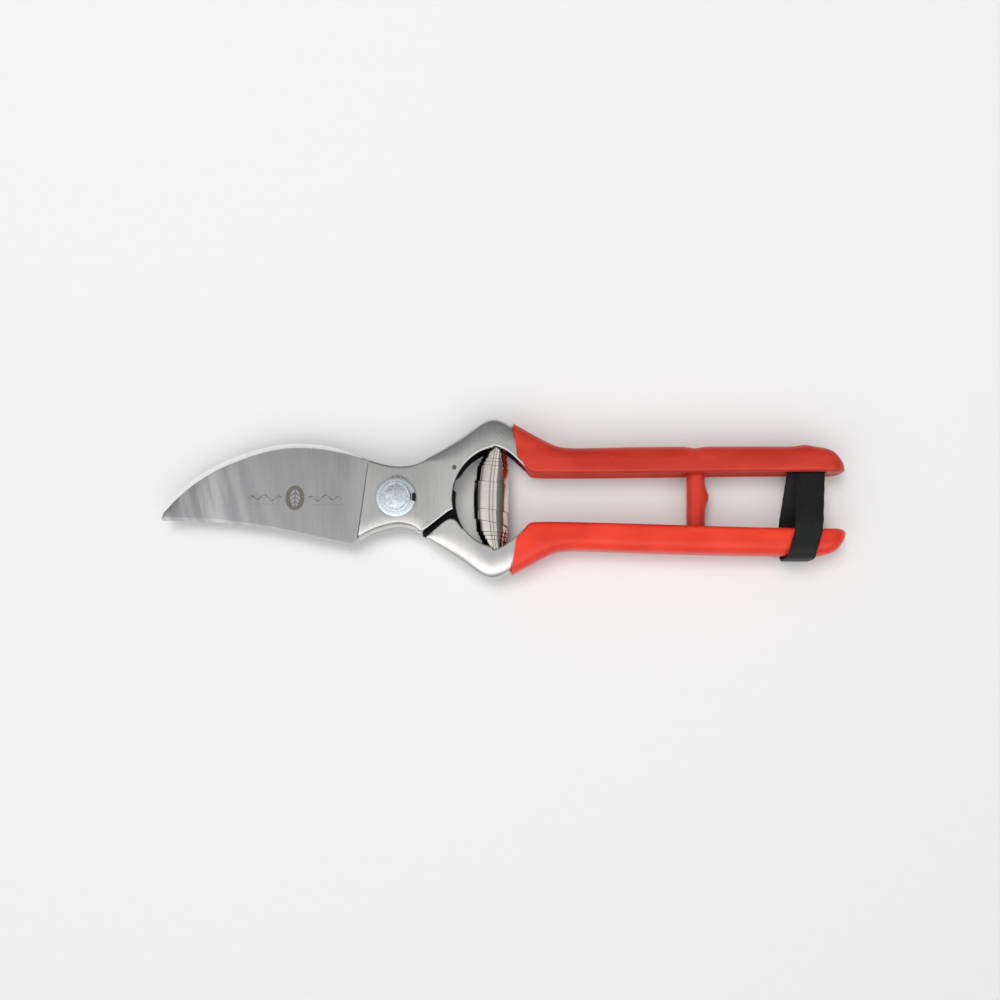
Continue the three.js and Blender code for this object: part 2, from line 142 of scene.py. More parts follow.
class Graph:
    """A node tree that terms are written in."""

    def __init__(self, tree: bpy.types.NodeTree, place: str) -> None:
        """Keeps the tree.

        Args:
            tree: The node tree.
            place: The texture coordinate that its patterns are read at.
        """
        self.nodes = tree.nodes
        self.links = tree.links
        self.place = self.node("ShaderNodeTexCoord").outputs[place]

    def node(
        self, kind: str, settings: dict | None = None, inputs: dict | None = None
    ) -> bpy.types.Node:
        """Adds one node.

        Args:
            kind: The node's type.
            settings: Its own properties, set first.
            inputs: Values, terms or sockets for its inputs, by name or index.

        Returns:
            The new node.
        """
        made = self.nodes.new(kind)
        for key, value in (settings or {}).items():
            setattr(made, key, value)
        for key, value in (inputs or {}).items():
            self.feed(made.inputs[key], value)
        return made

    def feed(self, socket: bpy.types.NodeSocket, value: object) -> None:
        """Links or sets one input socket.

        Args:
            socket: The input.
            value: A term, a socket, a number or a tuple.
        """
        if isinstance(value, Term):
            value = value.socket
        if isinstance(value, bpy.types.NodeSocket):
            self.links.new(value, socket)
        else:
            socket.default_value = value

    def maths(self, operation: str, *values: Term | float) -> Term:
        """Adds a Math node.

        Args:
            operation: Its operation.
            *values: Its inputs in order.

        Returns:
            The result as a term.
        """
        inputs = dict(enumerate(values))
        return Term(self, self.node("ShaderNodeMath", {"operation": operation}, inputs).outputs[0])

    def axes(self) -> tuple[Term, Term, Term]:
        """The three parts of the place that patterns are read at."""
        split = self.node("ShaderNodeSeparateXYZ", None, {0: self.place})
        return tuple(Term(self, split.outputs[i]) for i in range(3))

    def stretched(self, scale: Sequence[float], turn: float = 0.0) -> bpy.types.NodeSocket:
        """Scales the place on the object, so that a pattern becomes grain.

        Args:
            scale: Scale along each axis.
            turn: Turn about Z in degrees, made before the scale.

        Returns:
            The new vector.
        """
        turned = self.node(
            "ShaderNodeMapping",
            {"vector_type": "POINT"},
            {"Vector": self.place, "Rotation": (0.0, 0.0, math.radians(turn))},
        )
        inputs = {"Vector": turned.outputs[0], "Scale": tuple(scale)}
        return self.node("ShaderNodeMapping", {"vector_type": "POINT"}, inputs).outputs[0]

    def noise(
        self,
        scale: float,
        detail: float = 3.0,
        vector: bpy.types.NodeSocket | None = None,
        roughness: float = 0.55,
    ) -> Term:
        """Adds noise.

        Args:
            scale: Its scale, per metre on the plain place.
            detail: Its octaves.
            vector: The place it is read at, or None for the object's.
            roughness: How strong the fine octaves are.

        Returns:
            The noise, about 0.5 on average.
        """
        inputs = {"Vector": vector or self.place, "Scale": scale, "Detail": detail}
        made = self.node("ShaderNodeTexNoise", None, inputs | {"Roughness": roughness})
        return Term(self, made.outputs[0])

    def blend(self, factor: Term, low: object, high: object) -> bpy.types.NodeSocket:
        """Mixes two colours.

        Args:
            factor: 0 for the first, 1 for the second.
            low: First colour, as numbers or a socket.
            high: Second colour.

        Returns:
            The mixed colour.
        """
        settings = {"data_type": "RGBA", "clamp_factor": True}
        return self.node("ShaderNodeMix", settings, {0: factor, 6: low, 7: high}).outputs[2]

    def bump(self, height: Term, depth: float, under: bpy.types.Node | None = None) -> bpy.types.Node:
        """Adds a bump.

        Args:
            height: Height from 0 to 1.
            depth: Depth of the bump in metres.
            under: Another bump that this one is laid on.

        Returns:
            The bump node.
        """
        inputs = {"Height": height, "Distance": depth, "Strength": 1.0}
        if under:
            inputs["Normal"] = under.outputs[0]
        return self.node("ShaderNodeBump", None, inputs)


class Paint(Graph):
    """The node tree of one material."""

    def __init__(self, name: str) -> None:
        """Makes the material with its shader.

        Args:
            name: The material's name.
        """
        self.material = bpy.data.materials.new(name)
        self.material.use_nodes = True
        super().__init__(self.material.node_tree, "Object")
        self.shader = self.nodes["Principled BSDF"]

    def finish(self, **inputs: object) -> bpy.types.Material:
        """Feeds the shader.

        Args:
            **inputs: Its inputs, with _ in place of blanks.

        Returns:
            The finished material.
        """
        for key, value in inputs.items():
            if isinstance(value, bpy.types.Node):
                value = value.outputs[0]
            self.feed(self.shader.inputs[key.replace("_", " ")], value)
        return self.material


def grey(value: float, warm: float = 0.0) -> tuple[float, float, float, float]:
    """A grey that may lean to a warm or a cold tone.

    Args:
        value: Its lightness.
        warm: How warm it is; below 0 it is cold.

    Returns:
        The colour.
    """
    return (value * (1 + warm), value, value * (1 - warm), 1.0)


# ---- Finishes --------------------------------------------------------------------------------


@dataclass(frozen=True)
class BrushedSteel:
    """Pressed steel, belt-brushed across the tool, with faint clouds and stray scratches."""

    name: str = "brushed_steel"
    light: float = 0.74
    dark: float = 0.56
    roughness: float = 0.33
    warm: float = 0.01
    metallic: float = 1.0
    marks: bool = False

    def build(self) -> bpy.types.Material:
        """Makes the material."""
        graph = Paint(self.name)
        grain = graph.noise(1.0, 3.0, graph.stretched((5200.0, 130.0, 900.0), 2.0), 0.6)
        coarse = graph.noise(1.0, 2.0, graph.stretched((1500.0, 60.0, 300.0), -3.0))
        clouds = graph.noise(70.0, 3.0)
        stray = graph.noise(1.0, 1.0, graph.stretched((120.0, 2400.0, 600.0), 38.0))
        scratch = stray.ramp(0.73, 0.78) * clouds.ramp(0.5, 0.66) * 0.5
        tone = grain.ramp(0.2, 0.8) * 0.5 + coarse.ramp(0.2, 0.8) * 0.25 + clouds * 0.25
        steel = graph.blend(tone, grey(self.dark, self.warm), grey(self.light, self.warm))
        worn = graph.blend(scratch * 0.4, steel, grey(0.25))
        pits = scratch
        if self.marks:
            pits = scratch.larger(self.tool_marks(graph, clouds))
            worn = graph.blend(pits * 0.85, worn, grey(0.05))
        rough = grain * 0.16 + (clouds - 0.5) * 0.14 + (self.roughness - 0.08)
        grooves = graph.bump(grain * 0.7 + coarse * 0.3, 0.000012)
        nicks = graph.bump(1 - pits, 0.00003, grooves)
        return graph.finish(Base_Color=worn, Metallic=self.metallic, Roughness=rough, Normal=nicks)

    @staticmethod
    def tool_marks(graph: Graph, clouds: Term) -> Term:
        """Draws the scuffs of the wrench beside the bolt and one small punch mark.

        Args:
            graph: The material's tree.
            clouds: Slow noise that breaks the scuffs up.

        Returns:
            1 on a mark and 0 beside it.
        """
        x, y, z = graph.axes()
        middle = Stock.pivot
        right, up = (x - middle.x) * PER_METRE, (y - middle.y) * PER_METRE
        reach = (right * right + up * up).root()
        gritty = graph.stretched((2600.0, 1500.0, 1500.0), 20.0)
        crumbs = graph.noise(1.0, 3.0, gritty, 0.7).ramp(0.36, 0.62)
        ring = reach.ramp(5.7, 6.1) * (1 - reach.ramp(6.5, 7.3))
        scuff = ring * crumbs * (1 - abs(right - 0.9).ramp(1.6, 3.4)) * (up > 0.0)
        faint = ring * crumbs * clouds.ramp(0.45, 0.6) * 0.25
        across, above = right - 17.8, up - 9.3
        punch = 1 - (across * across + above * above).root().ramp(0.45, 0.95)
        return scuff.larger(faint).larger(punch) * (z > middle.z + MM)


@dataclass(frozen=True)
class GroundBlade:
    """Hollow-ground blade face with grinding streaks across it and an etched sprig."""

    name: str = "ground_blade"
    etched: bool = True
    centre: Pair = (-31.6, -0.3)
    roughness: float = 0.3

    def build(self) -> bpy.types.Material:
        """Makes the material."""
        graph = Paint(self.name)
        grain = graph.noise(1.0, 3.0, graph.stretched((4200.0, 90.0, 700.0), -4.0), 0.6)
        streaks = graph.noise(1.0, 2.5, graph.stretched((260.0, 26.0, 60.0), -16.0))
        clouds = graph.noise(45.0, 2.0)
        x, y, _ = graph.axes()
        right, up = (x - Stock.pivot.x) * PER_METRE, (y - Stock.pivot.y) * PER_METRE
        tipward = 1 - (right + up * 0.25).ramp(-56.0, -37.0)
        tone = grain.ramp(0.3, 0.7) * 0.16 + clouds * 0.14 + 0.15
        tone = tone + (streaks.ramp(0.3, 0.72) * 0.75 - 0.2) * (tipward * 0.85 + 0.12)
        steel = graph.blend(tone, (0.40, 0.405, 0.42, 1.0), grey(0.80, 0.004))
        rough = grain * 0.12 + streaks * 0.1 + (self.roughness - 0.1)
        if self.etched:
            mark = self.sprig(graph)
            steel = graph.blend(mark * 0.85, steel, (0.235, 0.215, 0.16, 1.0))
            rough = rough + mark * 0.25
        grooves = graph.bump(grain * 0.6 + streaks * tipward * 0.4, 0.000014)
        return graph.finish(Base_Color=steel, Metallic=1.0, Roughness=rough, Normal=grooves)

    def sprig(self, graph: Graph) -> Term:
        """Draws a leaf on an oval between two winding tendrils.

        Args:
            graph: The material's tree.

        Returns:
            1 on the mark and 0 beside it.
        """
        x, y, z = graph.axes()
        middle = Stock.point(self.centre[0], self.centre[1], 2.0)
        right = (x - middle.x) * PER_METRE
        up = (y - middle.y) * PER_METRE
        leaf = self.leaf(right, up, 2.6, 4.1)
        midrib = (abs(right) < 0.16) * (abs(up) < 3.4)
        veins = (((up + abs(right) * 0.8) * 4.6).sine() > 0.72) * (abs(right) < 1.6)
        oval = (right * right * 1.7 + up * up) < 15.0
        body = oval * (1 - leaf * (1 - midrib.larger(veins)))
        reach = abs(right)
        phase = reach * 1.5
        stroke = (phase * 2.0).sine() * 0.07 + 0.15
        vine = abs(phase.sine() * 0.75 + (phase * 0.5).sine() * 0.3 - up) < stroke
        curl = abs((phase * 2.0 + 1.0).sine() * 0.45 - up + 0.1) < 0.08
        span = (reach > 4.1) * (reach < 14.6)
        bar = (abs(up + 2.0) < 0.07) * (reach > 5.0) * (reach < 15.5)
        mark = body.larger(vine.larger(curl * 0.7) * span).larger(bar * 0.4)
        return mark * (z > (middle.z - 0.0005))

    @staticmethod
    def leaf(right: Term, up: Term, offset: float, radius: float) -> Term:
        """The overlap of two discs that stand side by side.

        Args:
            right: Distance to the right of the leaf's middle.
            up: Distance above it.
            offset: How far each disc's centre is from the middle.
            radius: The discs' radius.

        Returns:
            1 inside and 0 outside.
        """
        side = abs(right) + offset
        return (side * side + up * up) < radius * radius


@dataclass(frozen=True)
class ZincPlate:
    """Bluish bright zinc plating, mottled like frost."""

    name: str = "mottled_zinc"

    def build(self) -> bpy.types.Material:
        """Makes the material."""
        graph = Paint(self.name)
        frost = graph.noise(1900.0, 5.0, None, 0.75)
        clouds = graph.noise(520.0, 2.0)
        x, y, _ = graph.axes()
        right, up = (x - Stock.pivot.x) * PER_METRE, (y - Stock.pivot.y) * PER_METRE
        reach = (right * right + up * up).root()
        dome = 1 - reach.ramp(4.0, 4.5)
        speckle = frost.ramp(0.40, 0.6) * 0.6 + clouds.ramp(0.38, 0.62) * 0.4
        tone = (speckle - 0.62) * (dome * 0.85 + 0.15) + 0.6
        plate = graph.blend(tone, (0.50, 0.60, 0.68, 1.0), (0.95, 1.0, 1.0, 1.0))
        rough = frost * 0.25 + 0.14
        grain = graph.bump(frost, 0.00012)
        return graph.finish(Base_Color=plate, Metallic=0.9, Roughness=rough, Normal=grain)


@dataclass(frozen=True)
class BrightStrip:
    """Bright cold-rolled spring strip with faint rolling lines round the coil."""

    name: str = "rolled_strip"

    def build(self) -> bpy.types.Material:
        """Makes the material."""
        graph = Paint(self.name)
        lines = graph.noise(1.0, 3.0, graph.stretched((70.0, 4200.0, 70.0)), 0.6)
        clouds = graph.noise(260.0, 2.0)
        tone = lines * 0.6 + clouds * 0.4
        steel = graph.blend(tone, (0.56, 0.53, 0.48, 1.0), (0.92, 0.88, 0.80, 1.0))
        rough = lines * 0.1 + clouds * 0.06 + 0.05
        grooves = graph.bump(lines, 0.000004)
        return graph.finish(Base_Color=steel, Metallic=1.0, Roughness=rough, Normal=grooves)


@dataclass(frozen=True)
class DarkSteel:
    """Dark steel: oiled on the hidden pegs, and near-black on the faces inside the levers."""

    name: str = "oiled_steel"
    lightness: float = 0.03

    def build(self) -> bpy.types.Material:
        """Makes the material."""
        graph = Paint(self.name)
        mottle = graph.noise(900.0, 4.0)
        steel = graph.blend(mottle, grey(self.lightness * 0.5), grey(self.lightness * 1.8, 0.03))
        grain = graph.bump(mottle, 0.00003)
        return graph.finish(Base_Color=steel, Metallic=0.9, Roughness=mottle * 0.3 + 0.35, Normal=grain)


@dataclass(frozen=True)
class DippedVinyl:
    """Orange-red dipped vinyl: smooth, softly glossy, with a slow thickness wave and fine scuffs."""

    name: str = "dipped_vinyl"
    deep: tuple[float, float, float, float] = (0.66, 0.030, 0.014, 1.0)
    bright: tuple[float, float, float, float] = (0.78, 0.048, 0.022, 1.0)

    def build(self) -> bpy.types.Material:
        """Makes the material."""
        graph = Paint(self.name)
        wave = graph.noise(1.0, 2.0, graph.stretched((55.0, 130.0, 130.0)))
        skin = graph.noise(1400.0, 3.0)
        scuff = graph.noise(1.0, 2.0, graph.stretched((220.0, 1900.0, 900.0), 11.0)).ramp(0.66, 0.8)
        colour = graph.blend(wave.ramp(0.3, 0.7), self.deep, self.bright)
        pale = graph.blend(scuff * 0.16, colour, (0.9, 0.25, 0.18, 1.0))
        rough = skin * 0.12 + scuff * 0.15 + wave * 0.1 + 0.24
        swell = graph.bump(wave, 0.00022)
        pores = graph.bump(skin, 0.000012, swell)
        return graph.finish(
            Base_Color=pale, Roughness=rough, Normal=pores, Specular_IOR_Level=0.32,
            Subsurface_Weight=0.06, Subsurface_Scale=0.002,
        )


@dataclass(frozen=True)
class StrapLeather:
    """Thin black leather with a pebbled grain and dry, paler high spots."""

    name: str = "strap_leather"

    def build(self) -> bpy.types.Material:
        """Makes the material."""
        graph = Paint(self.name)
        cells = graph.node("ShaderNodeTexVoronoi", {"feature": "F1"},
            {"Vector": graph.place, "Scale": 1500.0})
        pebble = Term(graph, cells.outputs["Distance"]).ramp(0.0, 0.75)
        creases = graph.noise(520.0, 3.0)
        tone = pebble * 0.4 + creases * 0.6
        hide = graph.blend(tone, grey(0.004, -0.05), grey(0.014, -0.05))
        grain = graph.bump(1 - pebble, 0.00006)
        folds = graph.bump(creases, 0.0001, grain)
        return graph.finish(
            Base_Color=hide, Roughness=tone * 0.25 + 0.42, Normal=folds, Specular_IOR_Level=0.28,
        )


@dataclass(frozen=True)
class PaleFloor:
    """Matt pale studio paper."""

    name: str = "pale_floor"

    def build(self) -> bpy.types.Material:
        """Makes the material."""
        graph = Paint(self.name)
        fibre = graph.noise(300.0, 3.0)
        paper = graph.blend(fibre, grey(0.745, 0.0), grey(0.765, 0.004))
        return graph.finish(Base_Color=paper, Roughness=0.85, Specular_IOR_Level=0.1)


class Finish(Enum):
    """The finishes that pieces are given, each with the record's slot that it belongs to."""

    BRUSHED = (BrushedSteel(marks=True), "satin_steel")
    BLADE = (GroundBlade(), "satin_steel")
    REAR_BLADE = (GroundBlade("rear_ground_blade", etched=False), "satin_steel")
    # Near-white, barely metallic finish on the rear blade's rim: a painted highlight that stands in for the
    # rim's bright reflection.
    POLISHED = (BrushedSteel("painted_highlight_rim", 0.95, 0.88, 0.3, 0.0, metallic=0.2), "satin_steel")
    EDGE = (BrushedSteel("ground_edge", 0.34, 0.24, 0.3, 0.0), "satin_steel")
    # Near-black colour for the faces inside the lever channels and round the window.
    SCALE = (DarkSteel("inside_black_steel", 0.016), "satin_steel")
    ZINC = (ZincPlate(), "zinc_plate")
    STRIP = (BrightStrip(), "bright_strip")
    DARK = (DarkSteel(), "dark_steel")
    VINYL = (DippedVinyl(), "red_vinyl")
    # Darker copy of the red vinyl for the upper coat: painted shade, the same vinyl made a deeper red as if
    # less light fell on it.
    DEEP_VINYL = (DippedVinyl("shaded_dipped_vinyl", (0.46, 0.026, 0.012, 1.0), (0.56, 0.04, 0.02, 1.0)),
        "red_vinyl")
    LEATHER = (StrapLeather(), "black_leather")

    @property
    def slot(self) -> str:
        """The record's material slot."""
        return self.value[1]

    def material(self) -> bpy.types.Material:
        """The finish's material, made when it is first asked for."""
        made = bpy.data.materials.get(self.value[0].name)
        return made or self.value[0].build()


# ---- Meshes ----------------------------------------------------------------------------------


class Stock:
    """Mesh building shared by every piece."""

    pivot = Vector(next(j for j in frame["joints"] if j["name"] == "main_pivot")["pos_m"])

    @classmethod
    def point(cls, x: float, y: float, z: float) -> Vector:
        """A place in the frame.

        Args:
            x: Millimetres from the pivot axis towards the handle ends.
            y: Millimetres towards the upper handle.
            z: Millimetres above the middle plane.

        Returns:
            The place in metres.
        """
        return cls.pivot + Vector((x, y, z)) * MM

    @staticmethod
    def sheet(columns: int, rows: int, place: Place, paint: Paintwork | None = None) -> bmesh.types.BMesh:
        """Lays a flat grid over a surface.

        Args:
            columns: Faces along the surface.
            rows: Faces across it.
            place: Gives the place of each grid point.
            paint: Gives the material index of each face, or None where it is 0 all over.

        Returns:
            The mesh, its doubled points merged.
        """
        mesh = bmesh.new()
        mesh.loops.layers.uv.verify()
        bmesh.ops.create_grid(mesh, x_segments=columns, y_segments=rows, size=0.5, calc_uvs=True)
        for face in mesh.faces if paint else ():
            middle = face.calc_center_median()
            face.material_index = paint(int((middle.x + 0.5) * columns), int((middle.y + 0.5) * rows))
        for vert in mesh.verts:
            vert.co = place(round((vert.co.x + 0.5) * columns), round((vert.co.y + 0.5) * rows))
        bmesh.ops.remove_doubles(mesh, verts=mesh.verts, dist=2e-6)
        return mesh

    @classmethod
    def loft(
        cls, rings: Sequence[Sequence[Vector]], capped: bool = True, paint: Paintwork | None = None
    ) -> bmesh.types.BMesh:
        """Skins a row of closed rings.

        Args:
            rings: The rings, all with the same number of points.
            capped: Whether the two ends are closed.
            paint: Gives the material index of each face by its ring and its step round it.

        Returns:
            The mesh.
        """
        around = len(rings[0])
        mesh = cls.sheet(len(rings) - 1, around, lambda i, j: rings[i][j % around], paint)
        if capped:
            ends = [edge for edge in mesh.edges if edge.is_boundary]
            bmesh.ops.holes_fill(mesh, edges=ends, sides=0)
        bmesh.ops.recalc_face_normals(mesh, faces=mesh.faces)
        return mesh

    @classmethod
    def turned(cls, profile: Sequence[Pair], steps: int = 64, sweep: float = 360.0) -> bmesh.types.BMesh:
        """Turns a profile about Z.

        Args:
            profile: Pairs of radius and height in millimetres.
            steps: Steps of the turn.
            sweep: Degrees turned; less than a full turn leaves flat ends, which are closed.

        Returns:
            The mesh, about the origin in metres.
        """
        mesh = bmesh.new()
        verts = [mesh.verts.new((radius * MM, 0.0, height * MM)) for radius, height in profile]
        closed = sweep < 360.0
        pairs = list(zip(verts, verts[1:] + (verts[:1] if closed else [])))
        line = [mesh.edges.new(pair) for pair in (pairs if closed else pairs[: len(verts) - 1])]
        bmesh.ops.spin(
            mesh, geom=[*verts, *line], cent=(0, 0, 0), axis=(0, 0, 1), angle=math.radians(sweep),
            steps=steps, use_merge=not closed,
        )
        bmesh.ops.remove_doubles(mesh, verts=mesh.verts, dist=2e-6)
        if closed:
            ends = [edge for edge in mesh.edges if edge.is_boundary]
            bmesh.ops.holes_fill(mesh, edges=ends, sides=0)
        bmesh.ops.recalc_face_normals(mesh, faces=mesh.faces)
        return mesh

    @staticmethod
    def rounded_box(size: Sequence[float], middle: Vector, radius: float) -> bmesh.types.BMesh:
        """A block with rounded edges.

        Args:
            size: Its three sizes in millimetres.
            middle: Its middle in metres.
            radius: Rounding in millimetres.

        Returns:
            The mesh.
        """
        mesh = bmesh.new()
        bmesh.ops.create_cube(mesh, size=MM)
        bmesh.ops.scale(mesh, vec=Vector(size), verts=mesh.verts)
        bmesh.ops.bevel(
            mesh, geom=mesh.edges[:], offset=radius * MM, affect="EDGES", segments=3,
            profile=0.5, material=-1,
        )
        bmesh.ops.translate(mesh, vec=middle, verts=mesh.verts)
        return mesh

    @staticmethod
    def joined(parts: Sequence[bmesh.types.BMesh]) -> bmesh.types.BMesh:
        """Puts several meshes into one.

        Args:
            parts: The meshes, which are freed.

        Returns:
            The joined mesh.
        """
        whole = bmesh.new()
        for part in parts:
            carrier = bpy.data.meshes.new("carrier")
            part.to_mesh(carrier)
            whole.from_mesh(carrier)
            part.free()
            bpy.data.meshes.remove(carrier)
        return whole

    @staticmethod
    def piece(
        name: str, mesh: bmesh.types.BMesh, finishes: Finish | Sequence[Finish], body: str | None,
        replaces: Sequence[str] = (), sharp: float = 38.0,
    ) -> bpy.types.Object:
        """Turns a mesh into a finished object that rides on a body.

        Args:
            name: The piece's name.
            mesh: Its mesh, which is freed.
            finishes: Its finish, or one for each material index.
            body: The body that it rides on, or None.
            replaces: CAD nodes that it stands for.
            sharp: Edges that bend more than this many degrees stay sharp.

        Returns:
            The object.
        """
        data = bpy.data.meshes.new(name)
        mesh.to_mesh(data)
        mesh.free()
        made = bpy.data.objects.new(name, data)
        bpy.context.scene.collection.objects.link(made)
        data.shade_smooth()
        data.set_sharp_from_angle(angle=math.radians(sharp))
        finishes = finishes if isinstance(finishes, (list, tuple)) else [finishes]
        for finish in finishes:
            data.materials.append(finish.material())
        finishes[0].slot
        if body:
            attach(made, body)
        if replaces:
            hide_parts(*replaces)
        LOG.info("%s: %d faces, rides on %s", name, len(data.polygons), body or "two bodies")
        return made


class Spline:
    """A smooth line through knots, read by knot number."""

    def __init__(self, knots: Sequence[Sequence[float]]) -> None:
        """Keeps the knots.

        Args:
            knots: The points that the line passes through.
        """
        self.knots = [tuple(knot) for knot in knots]

    def at(self, place: float) -> tuple[float, ...]:
        """A point on the line.

        Args:
            place: 0 at the first knot, 1 at the second and so on.

        Returns:
            The point.
        """
        last = len(self.knots) - 1
        i = min(max(int(place), 0), last - 1)
        t = place - i
        near = [self.knots[min(max(i + step, 0), last)] for step in (-1, 0, 1, 2)]
        return tuple(self.blend(t, *values) for values in zip(*near))

    @staticmethod
    def blend(t: float, a: float, b: float, c: float, d: float) -> float:
        """The curve between the second and third of four values."""
        return b + 0.5 * t * (c - a + t * (2 * a - 5 * b + 4 * c - d + t * (3 * (b - c) + d - a)))


def eased(value: float, low: float, high: float) -> float:
    """A smooth step from 0 at low to 1 at high.

    Args:
        value: Where it is read.
        low: Start of the step.
        high: End of the step.

    Returns:
        The step's height.
    """
    t = min(max((value - low) / (high - low), 0.0), 1.0)
    return t * t * (3 - 2 * t)


# ---- Levers ----------------------------------------------------------------------------------


@dataclass(frozen=True)
class Rib:
    """One line across a lever, from its inner edge to its spine, and the section on it."""

    spine: Pair
    edge: Pair

    @property
    def length(self) -> float:
        """Its length."""
        return math.dist(self.spine, self.edge)

    def along(self, distance: float) -> Pair:
        """The point at a distance from the inner edge.

        Args:
            distance: Millimetres from the edge.

        Returns:
            The point's x and y.
        """
        share = distance / max(self.length, 1e-6)
        return (
            self.edge[0] + (self.spine[0] - self.edge[0]) * share,
            self.edge[1] + (self.spine[1] - self.edge[1]) * share,
        )


@dataclass(frozen=True)
class LeverShape:
    """Sizes that both levers share, drawn as the upper lever."""

    half_gap: float = 0.15
    plate: float = 3.65
    half: float = 5.3
    wall: float = 1.7
    plate_knots: int = 5
    spine: tuple[Pair, ...] = (
        (-8.7, 11.8), (-4.6, 10.6), (0, 9.9), (4.6, 10.3), (7.6, 11.4), (9.5, 12.6), (11.5, 13.85),
        (14, 15.5), (17, 17.5), (20, 19.5), (23, 21.6), (26.4, 23.8), (29.4, 24.8), (32.4, 24.2),
        (35.5, 22.5), (38.1, 21), (42, 18.9), (45, 17.3), (49, 15.5), (53.4, 14.95), (75, 15.5),
        (100, 15.8), (126, 15.8), (129.5, 15.2), (131.5, 13.6), (133, 11.6), (133.8, 10.2),
    )
    front_edge: tuple[Pair, ...] = (
        (-11.6, -13.3), (-6.5, -10.6), (0, -8.9), (4.6, -9.5), (7.8, -10.9), (11.9, -7.6),
        (16.7, -3.8), (17.1, 0), (18.1, 5.5), (20.6, 9.9), (24, 13.1), (27.8, 15.0), (29.9, 15.9),
        (33, 14.9), (35.7, 13), (38.4, 10.5), (40.5, 8.8), (43, 8.3), (49, 8.2), (53.4, 8.2),
        (75, 8.5), (100, 9.0), (126, 9.35), (129.5, 9.4), (131.5, 9.4), (133, 9.45), (133.7, 9.5),
    )
    nose_knot: int = 5
    nose_edge: tuple[Pair, ...] = ((9.3, 12.3), (12, 9.8), (15.8, 6.8), (18.3, 6.9), (20.6, 9.9))
    window: Pair = (33.0, 15.9)
    far_window: Pair = (33.35, 15.65)
    neck_edge: tuple[Pair, ...] = ((0.0, 2.9), (0.4, 1.15), (0.5, 0.98), (1.2, 0.14), (1.5, 0.0))
    lip_edge: tuple[Pair, ...] = ((0.0, 0.45), (0.06, 0.22), (0.2, 0.07), (0.45, 0.0), (0.6, 0.0))
    inside_row: int = 18

    def rise(self, x: float) -> float:
        """Height of the outer face above the middle plane.

        Args:
            x: Distance from the pivot axis along the tool.

        Returns:
            The height.
        """
        return self.plate + (self.half - self.plate) * eased(x, 9.0, 27.0)

    def cavity(self, x: float) -> float:
        """Half height of the open channel inside the lever."""
        return self.half_gap + (self.half - self.wall - self.half_gap) * eased(x, 14.5, 22.0)

    def crown(self, knot: float) -> tuple[float, float]:
        """Rounding of the spine: how far it reaches across the face, and how far down."""
        shoulder = eased(knot, 4.0, 9.0)
        handle = eased(knot, 13.0, 17.0)
        across = 1.0 + 5.8 * shoulder - 3.4 * handle
        return across, 0.9 + 1.9 * shoulder - 0.2 * handle


